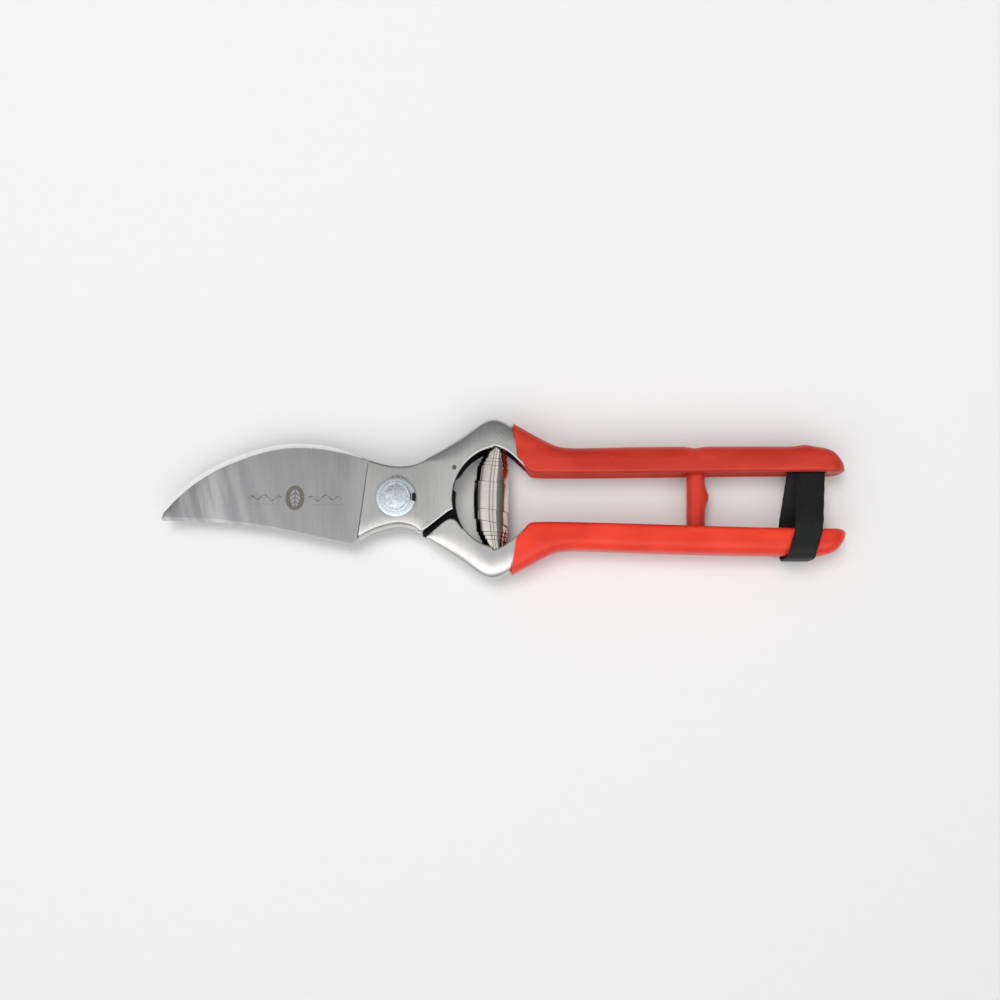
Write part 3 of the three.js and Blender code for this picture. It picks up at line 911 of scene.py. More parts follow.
class Lever:
    """One pressing: blade, neck plate, shoulder and handle."""

    def __init__(self, shape: LeverShape, blade: "Blade", body: str, side: int) -> None:
        """Keeps the lever's parts.

        Args:
            shape: The shared shape.
            blade: Its blade.
            body: The body and node that it stands for.
            side: 1 for the upper lever, -1 for the one turned over.
        """
        self.shape = shape
        self.blade = blade
        self.body = body
        self.side = side
        self.spine = Spline(shape.spine)

    def place(self, point: Pair, height: float) -> Vector:
        """A place on this lever in the frame.

        Args:
            point: Its x and y as drawn on the upper lever.
            height: Its height towards the lever's own front.

        Returns:
            The place in metres.
        """
        return Stock.point(point[0], point[1] * self.side, height * self.side)

    def front_rib(self, knot: float) -> Rib:
        """The rib of the front wall at a knot."""
        return Rib(self.spine.at(knot), self.on_window(self.pull(Spline(self.shape.front_edge), knot)))

    def pull(self, line: Spline, knot: float) -> Pair:
        """The inner edge at a knot, straight along the gap beside the opposite shoulder."""
        corner = 4 <= knot <= 6
        if not corner:
            return line.at(knot)
        i = min(int(knot), 5)
        start, end = line.knots[i], line.knots[i + 1]
        share = knot - i
        return (start[0] + (end[0] - start[0]) * share, start[1] + (end[1] - start[1]) * share)

    def on_window(self, point: Pair) -> Pair:
        """Moves an edge point that is near the round window exactly onto it."""
        middle, radius = self.shape.window if self.side > 0 else self.shape.far_window
        reach = math.hypot(point[0] - middle, point[1])
        if point[0] > 29.6 or abs(reach - radius) > 0.9:
            return point
        return (middle + (point[0] - middle) * radius / reach, point[1] * radius / reach)

    def rear_rib(self, knot: float) -> Rib:
        """The rib of the rear wall at a knot: it ends in a rounded nose beside the neck."""
        nose = Spline(self.shape.nose_edge)
        last = len(nose.knots) - 1
        start = knot - self.shape.nose_knot
        if start >= last:
            return self.front_rib(knot)
        return Rib(self.spine.at(knot), nose.at(start))

    def section(self, rib: Rib, knot: float) -> list[Vector]:
        """The closed section of one wall with half of the spine, on one rib.

        Args:
            rib: The rib.
            knot: The rib's knot number, for the rounding.

        Returns:
            The section's points, starting at the inner edge of the outer face.
        """
        shape = self.shape
        length = rib.length
        across, down = self.shape.crown(knot)
        across = min(across, length * 0.75)
        bed = shape.half_gap * (1 - eased(rib.spine[0], 9.0, 14.0))
        shoulder = eased(knot, 3.4, 4.6)
        points = []
        for neck, lip in zip(shape.neck_edge, shape.lip_edge):
            reach, drop = (n + (l - n) * shoulder for n, l in zip(neck, lip))
            at = rib.along(min(reach, length * 0.2))
            points.append((at, shape.rise(at[0]) - drop))
        for share in (0.25, 0.45, 0.7, 1.0):
            at = rib.along((length - across) * share)
            points.append((at, shape.rise(at[0])))
        for step in range(1, 10):
            angle = math.radians(10 * step)
            at = rib.along(length - across * (1 - math.sin(angle)))
            points.append((at, shape.rise(at[0]) - down * (1 - math.cos(angle))))
        points.append((rib.along(length), bed))
        roof = max(length - shape.wall, 0.0)
        inner = rib.along(roof)
        points.append((inner, bed))
        for share in (1, 0.6, 0.3, 0):
            at = rib.along(roof * share)
            points.append((at, shape.cavity(at[0])))
        return [self.place(at, max(height, bed)) for at, height in points]

    def walls(self) -> bmesh.types.BMesh:
        """Skins both walls of the channel with the neck plate."""
        last = len(self.shape.spine) - 1
        fronts = [step / 6 for step in range(6 * last + 1)]
        front = [self.section(self.front_rib(knot), knot) for knot in fronts]
        rears = [knot for knot in fronts if knot >= self.shape.nose_knot]
        rear = [self.section(self.rear_rib(knot), knot) for knot in rears]
        flipped = [[self.mirrored(point) for point in ring] for ring in rear]
        front_wall = Stock.loft(front, paint=partial(self.inside_black_index, fronts))
        rear_wall = Stock.loft(flipped, paint=partial(self.inside_black_index, rears))
        return Stock.joined([front_wall, rear_wall])

    def inside_black_index(self, knots: Sequence[float], ring: int, row: int) -> int:
        """Whether a face is near-black: inside the channel and round the window.

        Args:
            knots: The knot number of each rib.
            ring: The face's rib.
            row: Its step round the section.

        Returns:
            The material index.
        """
        return 1 if knots[ring] > 4 and row >= self.shape.inside_row else 0

    @staticmethod
    def mirrored(point: Vector) -> Vector:
        """A place turned over the middle plane."""
        return Vector((point.x, point.y, 2 * Stock.pivot.z - point.z))

    def build(self) -> bpy.types.Object:
        """Makes the lever in one piece and puts it in the CAD lever's place."""
        mesh = Stock.joined([self.walls(), self.blade.skin(self)])
        finishes = [Finish.BRUSHED, Finish.SCALE, self.blade.finish, self.blade.bevel_finish]
        return Stock.piece(f"{self.body}_steel", mesh, finishes, self.body, [self.body])


@dataclass(frozen=True)
class Blade:
    """A blade as ribs from its back to its edge, with its thickness across."""

    back: tuple[Pair, ...]
    edge: tuple[Pair, ...]
    finish: Finish
    turn: float
    back_edge: tuple[Pair, ...]
    rim: Pair = (0.0, 0.0)
    bevel_finish: Finish = Finish.POLISHED
    thickness: float = 2.75
    root: float = 0.72
    half_gap: float = 0.15
    bevel: float = 1.0
    hollow: float = 0.35
    ribs_per_knot: int = 8

    def height(self, share: float, length: float, from_root: float) -> float:
        """Thickness at a share of the way from back to edge.

        Args:
            share: 0 at the back, 1 at the cutting edge.
            length: The rib's length.
            from_root: Distance from the step at the blade's root.

        Returns:
            The thickness there.
        """
        from_edge = (1 - share) * length
        dish = self.hollow * math.sin(math.pi * min(max(share, 0.0), 1.0)) ** 1.5
        body = self.thickness - dish * eased(length, 4.0, 12.0) * eased(from_root, 0.0, 9.0)
        fall = 0.7 * share * share * eased(from_root, 0.0, 6.0)
        body += self.root * (1 - eased(from_root, -0.3, 0.7)) - fall
        sharp = min(from_edge / self.bevel, 1.0)
        return max(0.12, body * (0.08 + 0.92 * sharp) * eased(length, -1.5, 3.0))

    def skin(self, lever: Lever) -> bmesh.types.BMesh:
        """Skins the blade.

        Args:
            lever: The lever that carries it.

        Returns:
            The blade's mesh.
        """
        backs, edges = Spline(self.back), Spline(self.edge)
        last = len(self.back) - 1
        root = Rib(edges.at(0.0), backs.at(0.0))
        first = root.along(root.length / 2)
        rings = []
        for step in range(last * self.ribs_per_knot + 1):
            knot = step / self.ribs_per_knot
            rib = Rib(edges.at(knot), backs.at(knot))
            from_root = math.dist(rib.along(rib.length / 2), first)
            outline = self.outline(rib, from_root)
            rings.append([lever.place(self.aligned(at), height) for at, height in outline])
        return Stock.loft(rings, paint=self.paint)

    def aligned(self, point: Pair) -> Pair:
        """Turns a point of the blade about the pivot."""
        cos, sin = math.cos(math.radians(self.turn)), math.sin(math.radians(self.turn))
        return (point[0] * cos - point[1] * sin, point[0] * sin + point[1] * cos)

    def paint(self, _ring: int, row: int) -> int:
        """The material index of a face: the ground blade, or the rows in its bevel finish: the front
        blade's dark cutting bevel, and on the rear blade the rim, which carries a near-white painted
        highlight.
        """
        bevel = len(self.back_edge) + 9
        # Rows in the bevel finish; on the rear blade this is the rim row with the painted highlight.
        bevel_finish_rows = (bevel + 6, bevel + 7) if self.rim[0] else (bevel, bevel + 4)
        return 3 if row in range(*bevel_finish_rows) else 2

    def outline(self, rib: Rib, from_root: float) -> list[tuple[Pair, float]]:
        """The closed section on one rib.

        Args:
            rib: The rib.
            from_root: Its distance from the step at the blade's root.

        Returns:
            Places across the rib with their heights.
        """
        length = max(rib.length, 0.05)
        narrow = min(1.0, length / 5.0)
        places = [(reach * narrow, drop * narrow) for reach, drop in self.back_edge]
        start = places[-1][0]
        end = length - self.bevel * 1.6 * narrow
        places += [(start + (end - start) * (i + 1) / 9, 0.0) for i in range(8)]
        places += [(length - self.bevel * narrow * share, 0.0) for share in (1.6, 1.05, 0.95, 0.6, 0.3,
            0.0)]
        outer = []
        for place, drop in places:
            top = self.height(place / length, length, from_root)
            outer.append((rib.along(place), self.half_gap + max(top - drop, 0.1)))
        rim, fall = self.rim[0] * narrow, self.rim[1] * narrow
        inner = [(length, 0.0), (rim, 0.0), (0.0, fall)]
        return [*outer, *((rib.along(place), self.half_gap + lift) for place, lift in inner)]


FRONT_BLADE = Blade(
    back=(
        (-11.8, -13.3), (-14.1, -14.8), (-18.5, -14.0), (-24, -12.9), (-29.5, -11.7), (-35, -10.5),
        (-39, -9.7),
        (-44, -8.9), (-50, -8.15), (-56, -7.45), (-62.5, -7.1), (-68, -6.9), (-72.2, -6.85), (-73.5, -6.8),
    ),
    edge=(
        (-8.4, 11.8), (-10.7, 12.5), (-15.4, 13.95), (-21.6, 15.2), (-27.6, 15.95), (-32.6, 16.1),
        (-37.7, 15.6),
        (-43.2, 14.45), (-49.3, 12.35), (-55.6, 9.55), (-61.9, 5.9), (-68, 1.2), (-71.9, -3.1),
        (-73.9, -5.9),
    ),
    finish=Finish.BLADE,
    turn=0.5,
    back_edge=((0.0, 2.3), (0.45, 1.2), (0.55, 1.0), (0.75, 0.3), (0.82, 0.0)),
    bevel_finish=Finish.EDGE,
    bevel=0.7,
    hollow=0.1,
)
REAR_BLADE = Blade(
    back=(
        (-7.5, -11.2), (-10.5, -12.6), (-13, -13.7), (-16, -15.0), (-21.4, -16.6), (-26.5, -17.3),
        (-32.2, -17.6),
        (-37.5, -17.2), (-43, -16.1), (-49.1, -14.3), (-55.4, -11.8), (-61.7, -8.3), (-67.9, -3.5),
        (-74, 3.8),
    ),
    edge=(
        (-8.8, 8.3), (-11, 6.2), (-12.5, 2.6), (-12.9, -1.2), (-14.8, -4.3), (-19, -5.6), (-25, -6.1),
        (-34, -6.3), (-41, -5.4), (-47, -4), (-54, -1.5), (-60, 0.6), (-67, 2.95), (-73.4, 5),
    ),
    finish=Finish.REAR_BLADE,
    turn=-0.5,
    back_edge=((0.0, 1.9), (0.15, 1.4), (0.4, 0.9), (1.2, 0.1), (1.5, 0.0)),
    # Its rim row carries the near-white painted highlight finish.
    rim=(1.7, 0.4),
    bevel=1.6,
    hollow=0.4,
)


# ---- Handles ---------------------------------------------------------------------------------


@dataclass(frozen=True)
class Grip:
    """The dipped coat over a handle: outer skin, rounded lips and lining."""

    side: int
    half: float = 6.02
    wall: float = 3.05
    start: Pair = (35.6, 37.2)
    end_wall: float = 131.0
    tip: float = 137.25
    dents: tuple[tuple[float, float, float], ...] = ()
    droop: float = 0.0
    steps: int = 160
    crest: tuple[Pair, ...] = (
        (31.5, 25.9), (35, 23.75), (38.1, 21.95), (42, 19.8), (45, 18.2), (49, 16.4), (53.4, 15.75),
        (60, 15.8),
        (75, 16.2), (100, 16.5), (120, 16.6), (127.5, 16.55), (131.3, 16.1), (134, 14.9), (136, 12.8),
        (137, 10.9), (137.3, 9.9),
    )
    lip: tuple[Pair, ...] = (
        (31.3, 15.3), (34, 13.35), (36.5, 11.3), (38.6, 9.3), (40.2, 8.0), (42.4, 7.5), (48, 7.35),
        (60, 7.45),
        (75, 7.7), (100, 8.2), (120, 8.5), (127.5, 8.6), (131, 8.55), (134, 8.5), (136, 8.7), (137, 9.25),
        (137.3, 9.9),
    )

    @staticmethod
    def height_at(line: Spline, x: float) -> float:
        """The y of a line at x, found by halving between its knots."""
        low, high = 0.0, len(line.knots) - 1.0
        for _ in range(28):
            middle = (low + high) / 2
            if line.at(middle)[0] < x:
                low = middle
            else:
                high = middle
        return line.at(low)[1]

    def limits(self, x: float) -> Pair:
        """The y of the coat's lip and of its crest at x.

        Args:
            x: Distance from the pivot axis.

        Returns:
            Both heights.
        """
        crest = self.height_at(Spline(self.crest), x)
        for place, width, rise in self.dents:
            crest += rise * math.exp(-(((x - place) / width) ** 2))
        sag = self.droop * eased(x, 40.0, 120.0)
        return self.height_at(Spline(self.lip), x) + sag, crest + sag

    def section(self, x: float) -> list[Vector]:
        """The closed section at a place along the handle.

        Args:
            x: Distance from the pivot axis at the spine.

        Returns:
            The section's points in the frame.
        """
        lip, crest = self.limits(x)
        nose = max((x - 130.3) / (self.tip - 130.3), 0.0)
        half = max(self.half * (1 - nose**2.6) ** 0.55, 0.12) if nose < 1 else 0.12
        high = max(crest - lip, 0.05)
        outline = self.corner(lip, half, 1, min(1.3, high * 0.3), min(1.5, half * 0.7))
        outline += [(lip + high * share, half) for share in (0.3, 0.42, 0.5)]
        outline += self.corner(crest, half, -1, high * 0.46, min(3.7, half * 0.85))
        room = max(half - self.wall, 0.03)
        deep = (high - self.wall) if x < self.end_wall else 0.0
        mouth = [(0.03, room + 1.3), (0.2, room + 0.45), (0.7, room), (1.6, room), (3.2, room)]
        inside = [(lip + min(reach, max(deep * 0.8, 0.0) + reach * 0.02), z) for reach, z in mouth]
        inside += [(lip + max(deep - 0.5, 0.1), room), (lip + max(deep, 0.15), room * 0.7)]
        upper = [*outline, (crest, 0.0)]
        lower = [(y, -z) for y, z in reversed(outline)]
        lining = [(y, -z) for y, z in inside] + [(y, z) for y, z in reversed(inside)]
        return [self.place(self.lean(x, y), y, z) for y, z in [*upper, *lower, *lining]]

    @staticmethod
    def corner(edge: float, half: float, way: int, across: float, down: float) -> list[Pair]:
        """A rounded corner of the section.

        Args:
            edge: The y that the corner touches.
            half: The height that it touches.
            way: 1 where the section lies above the edge, -1 where it lies below.
            across: Size of the rounding in y.
            down: Size of the rounding in z.

        Returns:
            Its points, from lip to crest.
        """
        turns = [math.radians(90 * step / 8) for step in range(9)]
        points = [(edge + way * across * (1 - math.cos(a)), half - down * (1 - math.sin(a))) for a in turns]
        return points if way > 0 else points[::-1]

    def lean(self, x: float, y: float) -> float:
        """Leans the first sections like the coat's slanting start."""
        top, bottom = self.start
        share = min(max((y - 12.0) / 11.5, 0.0), 1.0)
        slant = (bottom - top) * (1 - share)
        return x + slant * (1 - eased(x, top, top + 8.0))

    def place(self, x: float, y: float, z: float) -> Vector:
        """A place on this handle in the frame."""
        return Stock.point(x, y * self.side, z * self.side)

    def build(self) -> bmesh.types.BMesh:
        """Skins the coat.

        Returns:
            The coat's mesh.
        """
        start, bend = self.start[0], 130.0
        main = [start + (bend - start) * step / self.steps for step in range(self.steps)]
        nose = [bend + (self.tip - bend) * math.sin(math.radians(90 * step / 18)) for step in range(19)]
        return Stock.loft([self.section(x) for x in [*main, *nose]])


@dataclass(frozen=True)
class StopRod:
    """The coated rod between the handles, with a drip of coating down one side."""

    x: float = 92.0
    radius: float = 2.8
    foot: float = -13.3
    top: float = 13.6
    drip: float = 1.2
    drip_middle: float = 1.0

    def build(self) -> bmesh.types.BMesh:
        """Skins the coated rod.

        Returns:
            Its mesh.
        """
        rings = []
        for step in range(61):
            y = self.foot + (self.top - self.foot) * step / 60
            radius = self.radius * min(1.0, 0.55 + math.sqrt(max(y - self.foot, 0.0)) * 0.55)
            sag = self.drip * math.exp(-(((y - self.drip_middle) / 2.6) ** 2))
            rings.append([self.spot(y, radius, sag, turn) for turn in range(32)])
        return Stock.loft(rings)

    def spot(self, y: float, radius: float, sag: float, turn: int) -> Vector:
        """A point round the rod.

        Args:
            y: Height along the rod.
            radius: The rod's radius there.
            sag: How far the drip stands out.
            turn: Step round the rod, of 32.

        Returns:
            The point.
        """
        angle = math.tau * turn / 32
        lump = sag * max(math.cos(angle), 0.0) ** 2
        reach = radius + lump
        return Stock.point(self.x + reach * math.cos(angle), y, reach * math.sin(angle) * radius / reach)


class Handles:
    """Both coated handles with the stop rod."""

    upper = Grip(1, dents=((91.4, 2.2, -0.45), (124.8, 2.6, 0.55)), droop=-0.05)
    lower = Grip(-1, dents=((70.0, 14.0, -0.1), (128.0, 4.0, 0.1)), droop=0.2)

    def build(self) -> None:
        """Makes both coats and dresses the rod's core."""
        coated = Stock.joined([self.upper.build(), StopRod().build()])
        # The upper coat and the stop rod's coat take the darker vinyl copy, which is painted shade.
        Stock.piece("upper_grip_coat", coated, Finish.DEEP_VINYL, "upper_lever", ["upper_grip_sleeve"],
            60.0)
        Stock.piece("lower_grip_coat", self.lower.build(), Finish.VINYL, "lower_lever",
            ["lower_grip_sleeve"], 60.0)
        dress("stop_rod", Finish.DARK)


def dress(node: str, finish: Finish) -> None:
    """Gives a CAD node that stays its finish.

    Args:
        node: The node.
        finish: Its finish.
    """
    shown = frame["nodes"][node]
    shown.data.materials.clear()
    shown.data.materials.append(finish.material())
    LOG.info("%s: carried over as %s", node, finish.name.lower())


# ---- Pivot -----------------------------------------------------------------------------------


@dataclass(frozen=True)
class Pivot:
    """Bolt, lock peg, washer and nut on the pivot axis."""

    flange: float = 6.1
    seat: float = 3.9
    flange_top: float = 5.05
    dome: float = 4.7
    dome_top: float = 6.62
    notch: float = 27.0
    shank: float = 3.45
    nut_flats: float = 11.0
    nut_bottom: float = -7.05
    nut_top: float = -5.0

    def build(self) -> None:
        """Makes all four pieces."""
        self.bolt()
        self.nut()
        self.washer()
        self.peg()

    def bolt(self) -> None:
        """The domed head on its notched flange, with the shank."""
        foot, brim = self.flange_top, self.dome_top - 0.38
        dish = [(self.dome, foot - 0.05), (self.dome, foot + 0.5), (self.dome - 0.08, brim - 0.22)]
        rim = [(self.dome - 0.26, brim - 0.05), (self.dome - 0.46, brim), (self.dome - 0.66, brim - 0.05)]
        rise = self.dome_top - brim
        reach = self.dome - 0.8
        cap = [(reach * share, brim - 0.05 + rise * (1 - share * share)) for share in (1, 0.85, 0.7,
            0.5, 0.3, 0.12)]
        core = [(0.0, -6.8), (self.shank - 0.4, -6.8), (self.shank, -6.4), (self.shank, self.seat)]
        core += [(self.dome - 0.2, self.seat), *dish, *rim, *cap, (0.0, self.dome_top - 0.05)]
        ring = [
            (self.dome - 0.4, self.seat), (self.flange - 0.1, self.seat), (self.flange, self.seat + 0.15),
            (self.flange, self.flange_top - 0.35), (self.flange - 0.12, self.flange_top - 0.12),
            (self.flange - 0.4, self.flange_top), (self.dome + 0.1, self.flange_top + 0.02),
            (self.dome - 0.4, self.flange_top),
        ]
        flange = Stock.turned(ring, 72, 360.0 - self.notch)
        turn = Matrix.Rotation(math.radians(self.notch / 2), 3, "Z")
        bmesh.ops.rotate(flange, cent=(0, 0, 0), matrix=turn, verts=flange.verts)
        mesh = Stock.joined([Stock.turned(core, 72), flange])
        self.settle(mesh)
        Stock.piece("pivot_bolt_head", mesh, Finish.ZINC, "upper_lever", ["pivot_bolt"], 30.0)

    def nut(self) -> None:
        """The hexagon nut with rounded corners and a chamfered bore."""
        corner = self.nut_flats / math.sqrt(3) * MM
        height = (self.nut_top - self.nut_bottom) * MM
        mesh = bmesh.new()
        bmesh.ops.create_cone(
            mesh, cap_ends=True, segments=6, radius1=corner, radius2=corner, depth=height,
        )
        bmesh.ops.bevel(
            mesh, geom=mesh.edges[:], offset=0.0004, affect="EDGES", segments=3, profile=0.5, material=-1,
        )
        bmesh.ops.translate(mesh, vec=(0, 0, (self.nut_top + self.nut_bottom) * 0.0005), verts=mesh.verts)
        self.settle(mesh)
        Stock.piece("pivot_nut_hex", mesh, Finish.ZINC, "upper_lever", ["pivot_nut"], 30.0)

    def washer(self) -> None:
        """The flat washer with rolled edges under the nut."""
        profile = [(3.6, -4.6), (6.3, -4.6), (6.55, -4.45), (6.55, -4.1), (6.3, -3.95), (3.6, -3.95),
            (3.6, -4.6)]
        mesh = Stock.turned(profile, 64)
        self.settle(mesh)
        Stock.piece("pivot_washer_ring", mesh, Finish.ZINC, "upper_lever", ["pivot_washer"], 30.0)

    def peg(self) -> None:
        """The dark lock peg in the flange's notch."""
        middle = Stock.point(5.5, 0.0, 3.5)
        mesh = Stock.rounded_box((1.1, 2.3, 2.2), middle, 0.3)
        Stock.piece("bolt_lock", mesh, Finish.DARK, "upper_lever", ["bolt_lock_peg"])

    @staticmethod
    def settle(mesh: bmesh.types.BMesh) -> None:
        """Moves a turned mesh onto the pivot."""
        bmesh.ops.translate(mesh, vec=Stock.pivot, verts=mesh.verts)


# ---- Spring ----------------------------------------------------------------------------------


@dataclass(frozen=True)
class VoluteSpring:
    """Flat strip wound from its middle to both ends as a double cone."""

    turns: float = 6.0
    middle_radius: float = 5.35
    end_radius: float = 2.75
    half_length: float = 20.9
    width: float = 8.6
    strip: float = 0.45
    x: float = 30.1
    bow: float = 1.3
    steps_per_turn: int = 40

    def rise(self, turn: float) -> float:
        """Axial place of the strip's middle.

        Args:
            turn: Turns from the spring's middle, below 0 towards the lower end.

        Returns:
            Millimetres from the middle.
        """
        size = abs(turn)
        nested = 5.3 * eased(size, 0.0, 1.3) + 1.15 * max(size - 0.9, 0.0)
        reach = self.half_length - self.width / 2 - 5.3 - 1.15 * (self.turns - 0.9)
        return math.copysign(nested + reach * eased(size, 3.6, self.turns), turn)

    def middle(self, y: float) -> float:
        """The bowed centre line's x at a height."""
        return self.x + self.bow * (min((y / 14.0) ** 2, 1.65) - 1)

    def ring(self, turn: float) -> list[Vector]:
        """The strip's section at a turn, with rolled edges.

        Args:
            turn: Turns from the middle.

        Returns:
            The section's points.
        """
        shrink = (self.middle_radius - self.end_radius) / self.turns
        radius = self.middle_radius - shrink * abs(turn)
        angle = math.tau * turn
        y = self.rise(turn)
        half, thin, soft = self.width / 2, self.strip / 2, 0.12
        section = [
            (-thin, -half + soft), (-thin + soft, -half), (thin - soft, -half), (thin, -half + soft),
            (thin, 0.0),
            (thin, half - soft), (thin - soft, half), (-thin + soft, half), (-thin, half - soft),
            (-thin, 0.0),
        ]
        return [self.spot(radius + out, y + along, angle) for out, along in section]

    def spot(self, radius: float, y: float, angle: float) -> Vector:
        """A point at a radius and an angle round the bowed centre line."""
        return Stock.point(self.middle(y) + radius * math.cos(angle), y, radius * math.sin(angle))

    def build(self) -> None:
        """Makes the spring."""
        count = int(2 * self.turns * self.steps_per_turn)
        rings = [self.ring((2 * step / count - 1) * self.turns) for step in range(count + 1)]
        spring = Stock.piece(
            "spring_coil", Stock.loft(rings), Finish.STRIP, None, ["volute_spring"], 35.0,
        )
        start, end = Stock.point(self.x, 18.0, 0.0), Stock.point(self.x, -18.0, 0.0)
        tuple(start)
        tuple(end)
        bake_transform(spring)
        dress("upper_spring_peg", Finish.DARK)
        dress("lower_spring_peg", Finish.DARK)


# ---- Strap -----------------------------------------------------------------------------------


@dataclass(frozen=True)
class ClosingStrap:
    """The leather loop from the upper channel round the lower handle, with its rivet."""

    x: float = 125.8
    width: float = 8.2
    thickness: float = 0.74
    skew: float = 0.11
    twist: float = 1.15
    top: float = 12.32
    throat: float = 1.82
    grip: float = 6.27
    floor: float = -17.43

    def path(self) -> list[Pair]:
        """The loop's inner face in the YZ plane, once round."""
        knots = [
            (self.top, 0.0), (self.top, self.throat - 0.5), (self.top - 0.8, self.throat - 0.05),
            (9.0, self.throat + 0.02), (6.6, 2.35), (0.0, 4.2), (-5.8, 5.9), (-8.2, self.grip),
            (-12.0, self.grip),
            (self.floor + 2.6, self.grip), (self.floor + 0.8, self.grip - 0.75),
            (self.floor, self.grip - 2.6),
            (self.floor, 0.0),
        ]
        line = Spline(knots)
        half = [line.at(step / 5) for step in range(5 * (len(knots) - 1) + 1)]
        return half + [(y, -z) for y, z in reversed(half[1:-1])]

    def build(self) -> None:
        """Makes the strap, its rivet and the burr."""
        path = self.path()
        count = len(path)
        rings = []
        for i in range(count + 1):
            y, z = path[i % count]
            ahead, behind = path[(i + 1) % count], path[(i - 1) % count]
            along = Vector((ahead[0] - behind[0], ahead[1] - behind[1])).normalized()
            out = Vector((-along.y, along.x))
            rings.append(self.ring(y, z, -out))
        mesh = Stock.loft(rings, capped=False)
        strap = Stock.piece("strap_loop", mesh, Finish.LEATHER, None, ["closing_strap"], 50.0)
        start, end = Stock.point(self.x, 11.5, 0.0), Stock.point(self.x, 6.5, 0.0)
        tuple(start)
        tuple(end)
        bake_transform(strap)
        self.rivet()

    def ring(self, y: float, z: float, out: Vector) -> list[Vector]:
        """The strap's cross-section at one place of the loop.

        Args:
            y: Place of the inner face.
            z: Its height.
            out: Direction out of the loop in the YZ plane.

        Returns:
            The section's points.
        """
        half, soft, thick = self.width / 2, 0.16, self.thickness
        wave = 0.06 * math.sin(y * 1.7 + z)
        section = [
            (-half, soft), (-half, thick - soft), (-half + soft, thick), (-half * 0.5, thick + 0.02),
            (0.0, thick + 0.03),
            (half * 0.5, thick + 0.02), (half - soft, thick), (half, thick - soft), (half, soft),
            (half - soft, 0.0),
            (0.0, 0.0), (-half + soft, 0.0),
        ]
        untwisted = eased(y, -17.0, -9.0)
        slant = self.skew * (y - 10.0) + self.twist * untwisted * min(max(z / self.throat, -1.0), 1.0)
        return [
            Stock.point(self.x + slant + across + wave, y + out.x * lift, z + out.y * lift)
            for across, lift in section
        ]

    def rivet(self) -> None:
        """The flat rivet head sunk in the coat, and the burr inside the loop."""
        profile = [(0.0, 12.3), (1.15, 12.3), (1.15, 16.3), (2.5, 16.3), (2.5, 16.55), (2.2, 16.85),
            (1.2, 17.05), (0.0, 17.1)]
        head = Stock.turned(profile, 40)
        upright = Matrix.Rotation(math.radians(-90), 3, "X")
        bmesh.ops.rotate(head, cent=(0, 0, 0), matrix=upright, verts=head.verts)
        bmesh.ops.translate(head, vec=Stock.point(self.x, 0.0, 0.0), verts=head.verts)
        Stock.piece("strap_rivet_head", head, Finish.ZINC, "upper_lever", ["strap_rivet"], 30.0)
        dress("strap_rivet_burr", Finish.ZINC)


# ---- Studio ----------------------------------------------------------------------------------


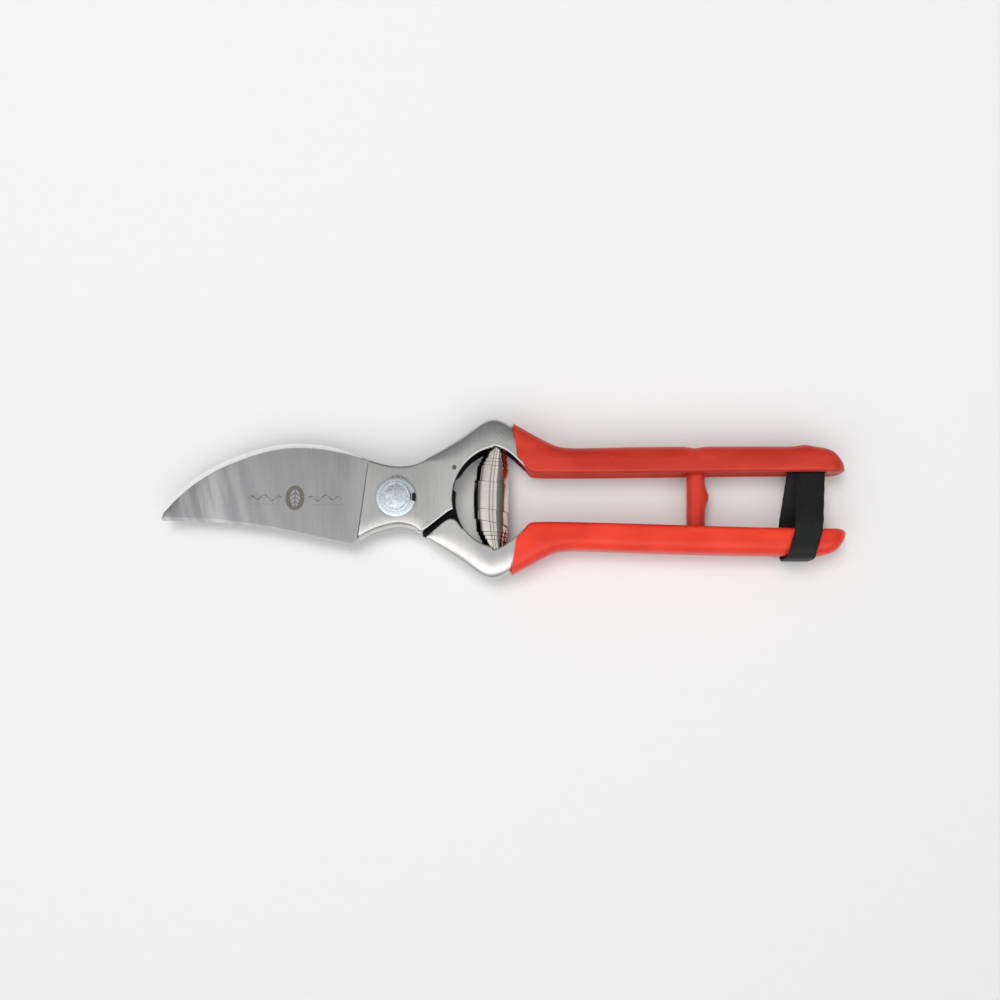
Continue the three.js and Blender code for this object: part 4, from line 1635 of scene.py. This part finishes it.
@dataclass(frozen=True)
class Studio:
    """Pale floor, a light tent and the camera above the shears."""

    width: float = 0.3083
    eye: tuple[float, float, float] = (0.0125, -0.047, 0.34)
    target: tuple[float, float, float] = (0.0002, -0.0188, 0.00705)
    lift: float = 0.06
    roll: float = 0.5
    roof: float = 0.95
    horizon: float = 0.1
    card: float = 1.0
    key_place: tuple[float, float, float] = (-0.16, 0.24, 1.05)
    key_size: float = 0.5
    key_power: float = 5.3

    def build(self) -> None:
        """Makes the whole studio."""
        bpy.context.scene.view_settings.view_transform = "Standard"
        self.floor()
        self.world()
        self.lamp("key", self.key_place, self.key_size, self.key_power)
        self.camera()

    def floor(self) -> None:
        """A wide sheet of pale paper."""
        mesh = bmesh.new()
        bmesh.ops.create_grid(mesh, x_segments=2, y_segments=2, size=3.0)
        data = bpy.data.meshes.new("floor")
        mesh.to_mesh(data)
        mesh.free()
        data.materials.append(PaleFloor().build())
        sheet = bpy.data.objects.new("floor", data)
        bpy.context.scene.collection.objects.link(sheet)

    def world(self) -> None:
        """A tent with a bright roof, a strong near card, and dark beyond the far and right sides."""
        world = bpy.data.worlds.new("tent")
        bpy.context.scene.world = world
        world.use_nodes = True
        graph = Graph(world.node_tree, "Generated")
        x, y, z = graph.axes()
        near = y * -1.0
        far = 1 - y.ramp(0.02, 0.5) * 0.75
        right = 1 - x.ramp(0.2, 0.27) * 0.85 * (1 - self.band(x, 0.36, 0.6))
        seam = 1 - (1 - abs(x + 0.1).ramp(0.05, 0.1)) * 0.7
        roof = z.ramp(0.12, 0.62) * far * right * seam * (self.roof - self.horizon)
        card = near.ramp(0.16, 0.42) * (1 - near.ramp(0.72, 0.9)) * z.ramp(0.2, 0.5) * self.card
        background = graph.nodes["Background"]
        graph.feed(background.inputs["Strength"], roof + card + self.horizon)
        graph.feed(background.inputs["Color"], (1.0, 1.0, 1.0, 1.0))

    @staticmethod
    def band(value: Term, low: float, high: float) -> Term:
        """1 between two values, falling off softly past both.

        Args:
            value: What is compared.
            low: The lower limit.
            high: The upper limit.

        Returns:
            The band's strength.
        """
        return value.ramp(low - 0.06, low) * (1 - value.ramp(high, high + 0.08))

    def lamp(self, name: str, place: Sequence[float], size: float, power: float) -> None:
        """A square soft light that faces the shears and leaves no mark in glossy faces.

        Args:
            name: Its name.
            place: Where it stands.
            size: Its edge length.
            power: Its power in watts.
        """
        data = bpy.data.lights.new(name, "AREA")
        data.energy = power
        data.size = size
        lamp = bpy.data.objects.new(name, data)
        lamp.location = place
        lamp.rotation_euler = (-Vector(place)).to_track_quat("-Z", "Y").to_euler()
        lamp.visible_glossy = False
        bpy.context.scene.collection.objects.link(lamp)

    def camera(self) -> None:
        """Looks almost straight down, from the near side."""
        data = bpy.data.cameras.new("camera")
        data.sensor_width = 36.0
        data.shift_y = self.lift
        target, place = Vector(self.target), Vector(self.eye)
        data.lens = 36.0 * (place - target).length / self.width
        data.clip_start = 0.01
        back = (place - target).normalized()
        right = (Vector((1, 0, 0)) - back * back.x).normalized()
        turn = Matrix((right, back.cross(right), back)).transposed().to_4x4()
        turn = turn @ Matrix.Rotation(math.radians(self.roll), 4, "Z")
        camera = bpy.data.objects.new("camera", data)
        camera.matrix_world = Matrix.Translation(place) @ turn
        bpy.context.scene.collection.objects.link(camera)
        bpy.context.scene.camera = camera


def save_sizes() -> None:
    """Updates the view layer.
    """
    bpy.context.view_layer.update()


def main() -> None:
    """Builds every sub-assembly in order."""
    logging.basicConfig(level=logging.INFO, format="%(name)s: %(message)s")
    shape = LeverShape()
    Lever(shape, FRONT_BLADE, "upper_lever", 1).build()
    Lever(shape, REAR_BLADE, "lower_lever", -1).build()
    Handles().build()
    Pivot().build()
    VoluteSpring().build()
    ClosingStrap().build()
    Studio().build()
    save_sizes()


if __name__ == "__main__":
    main()
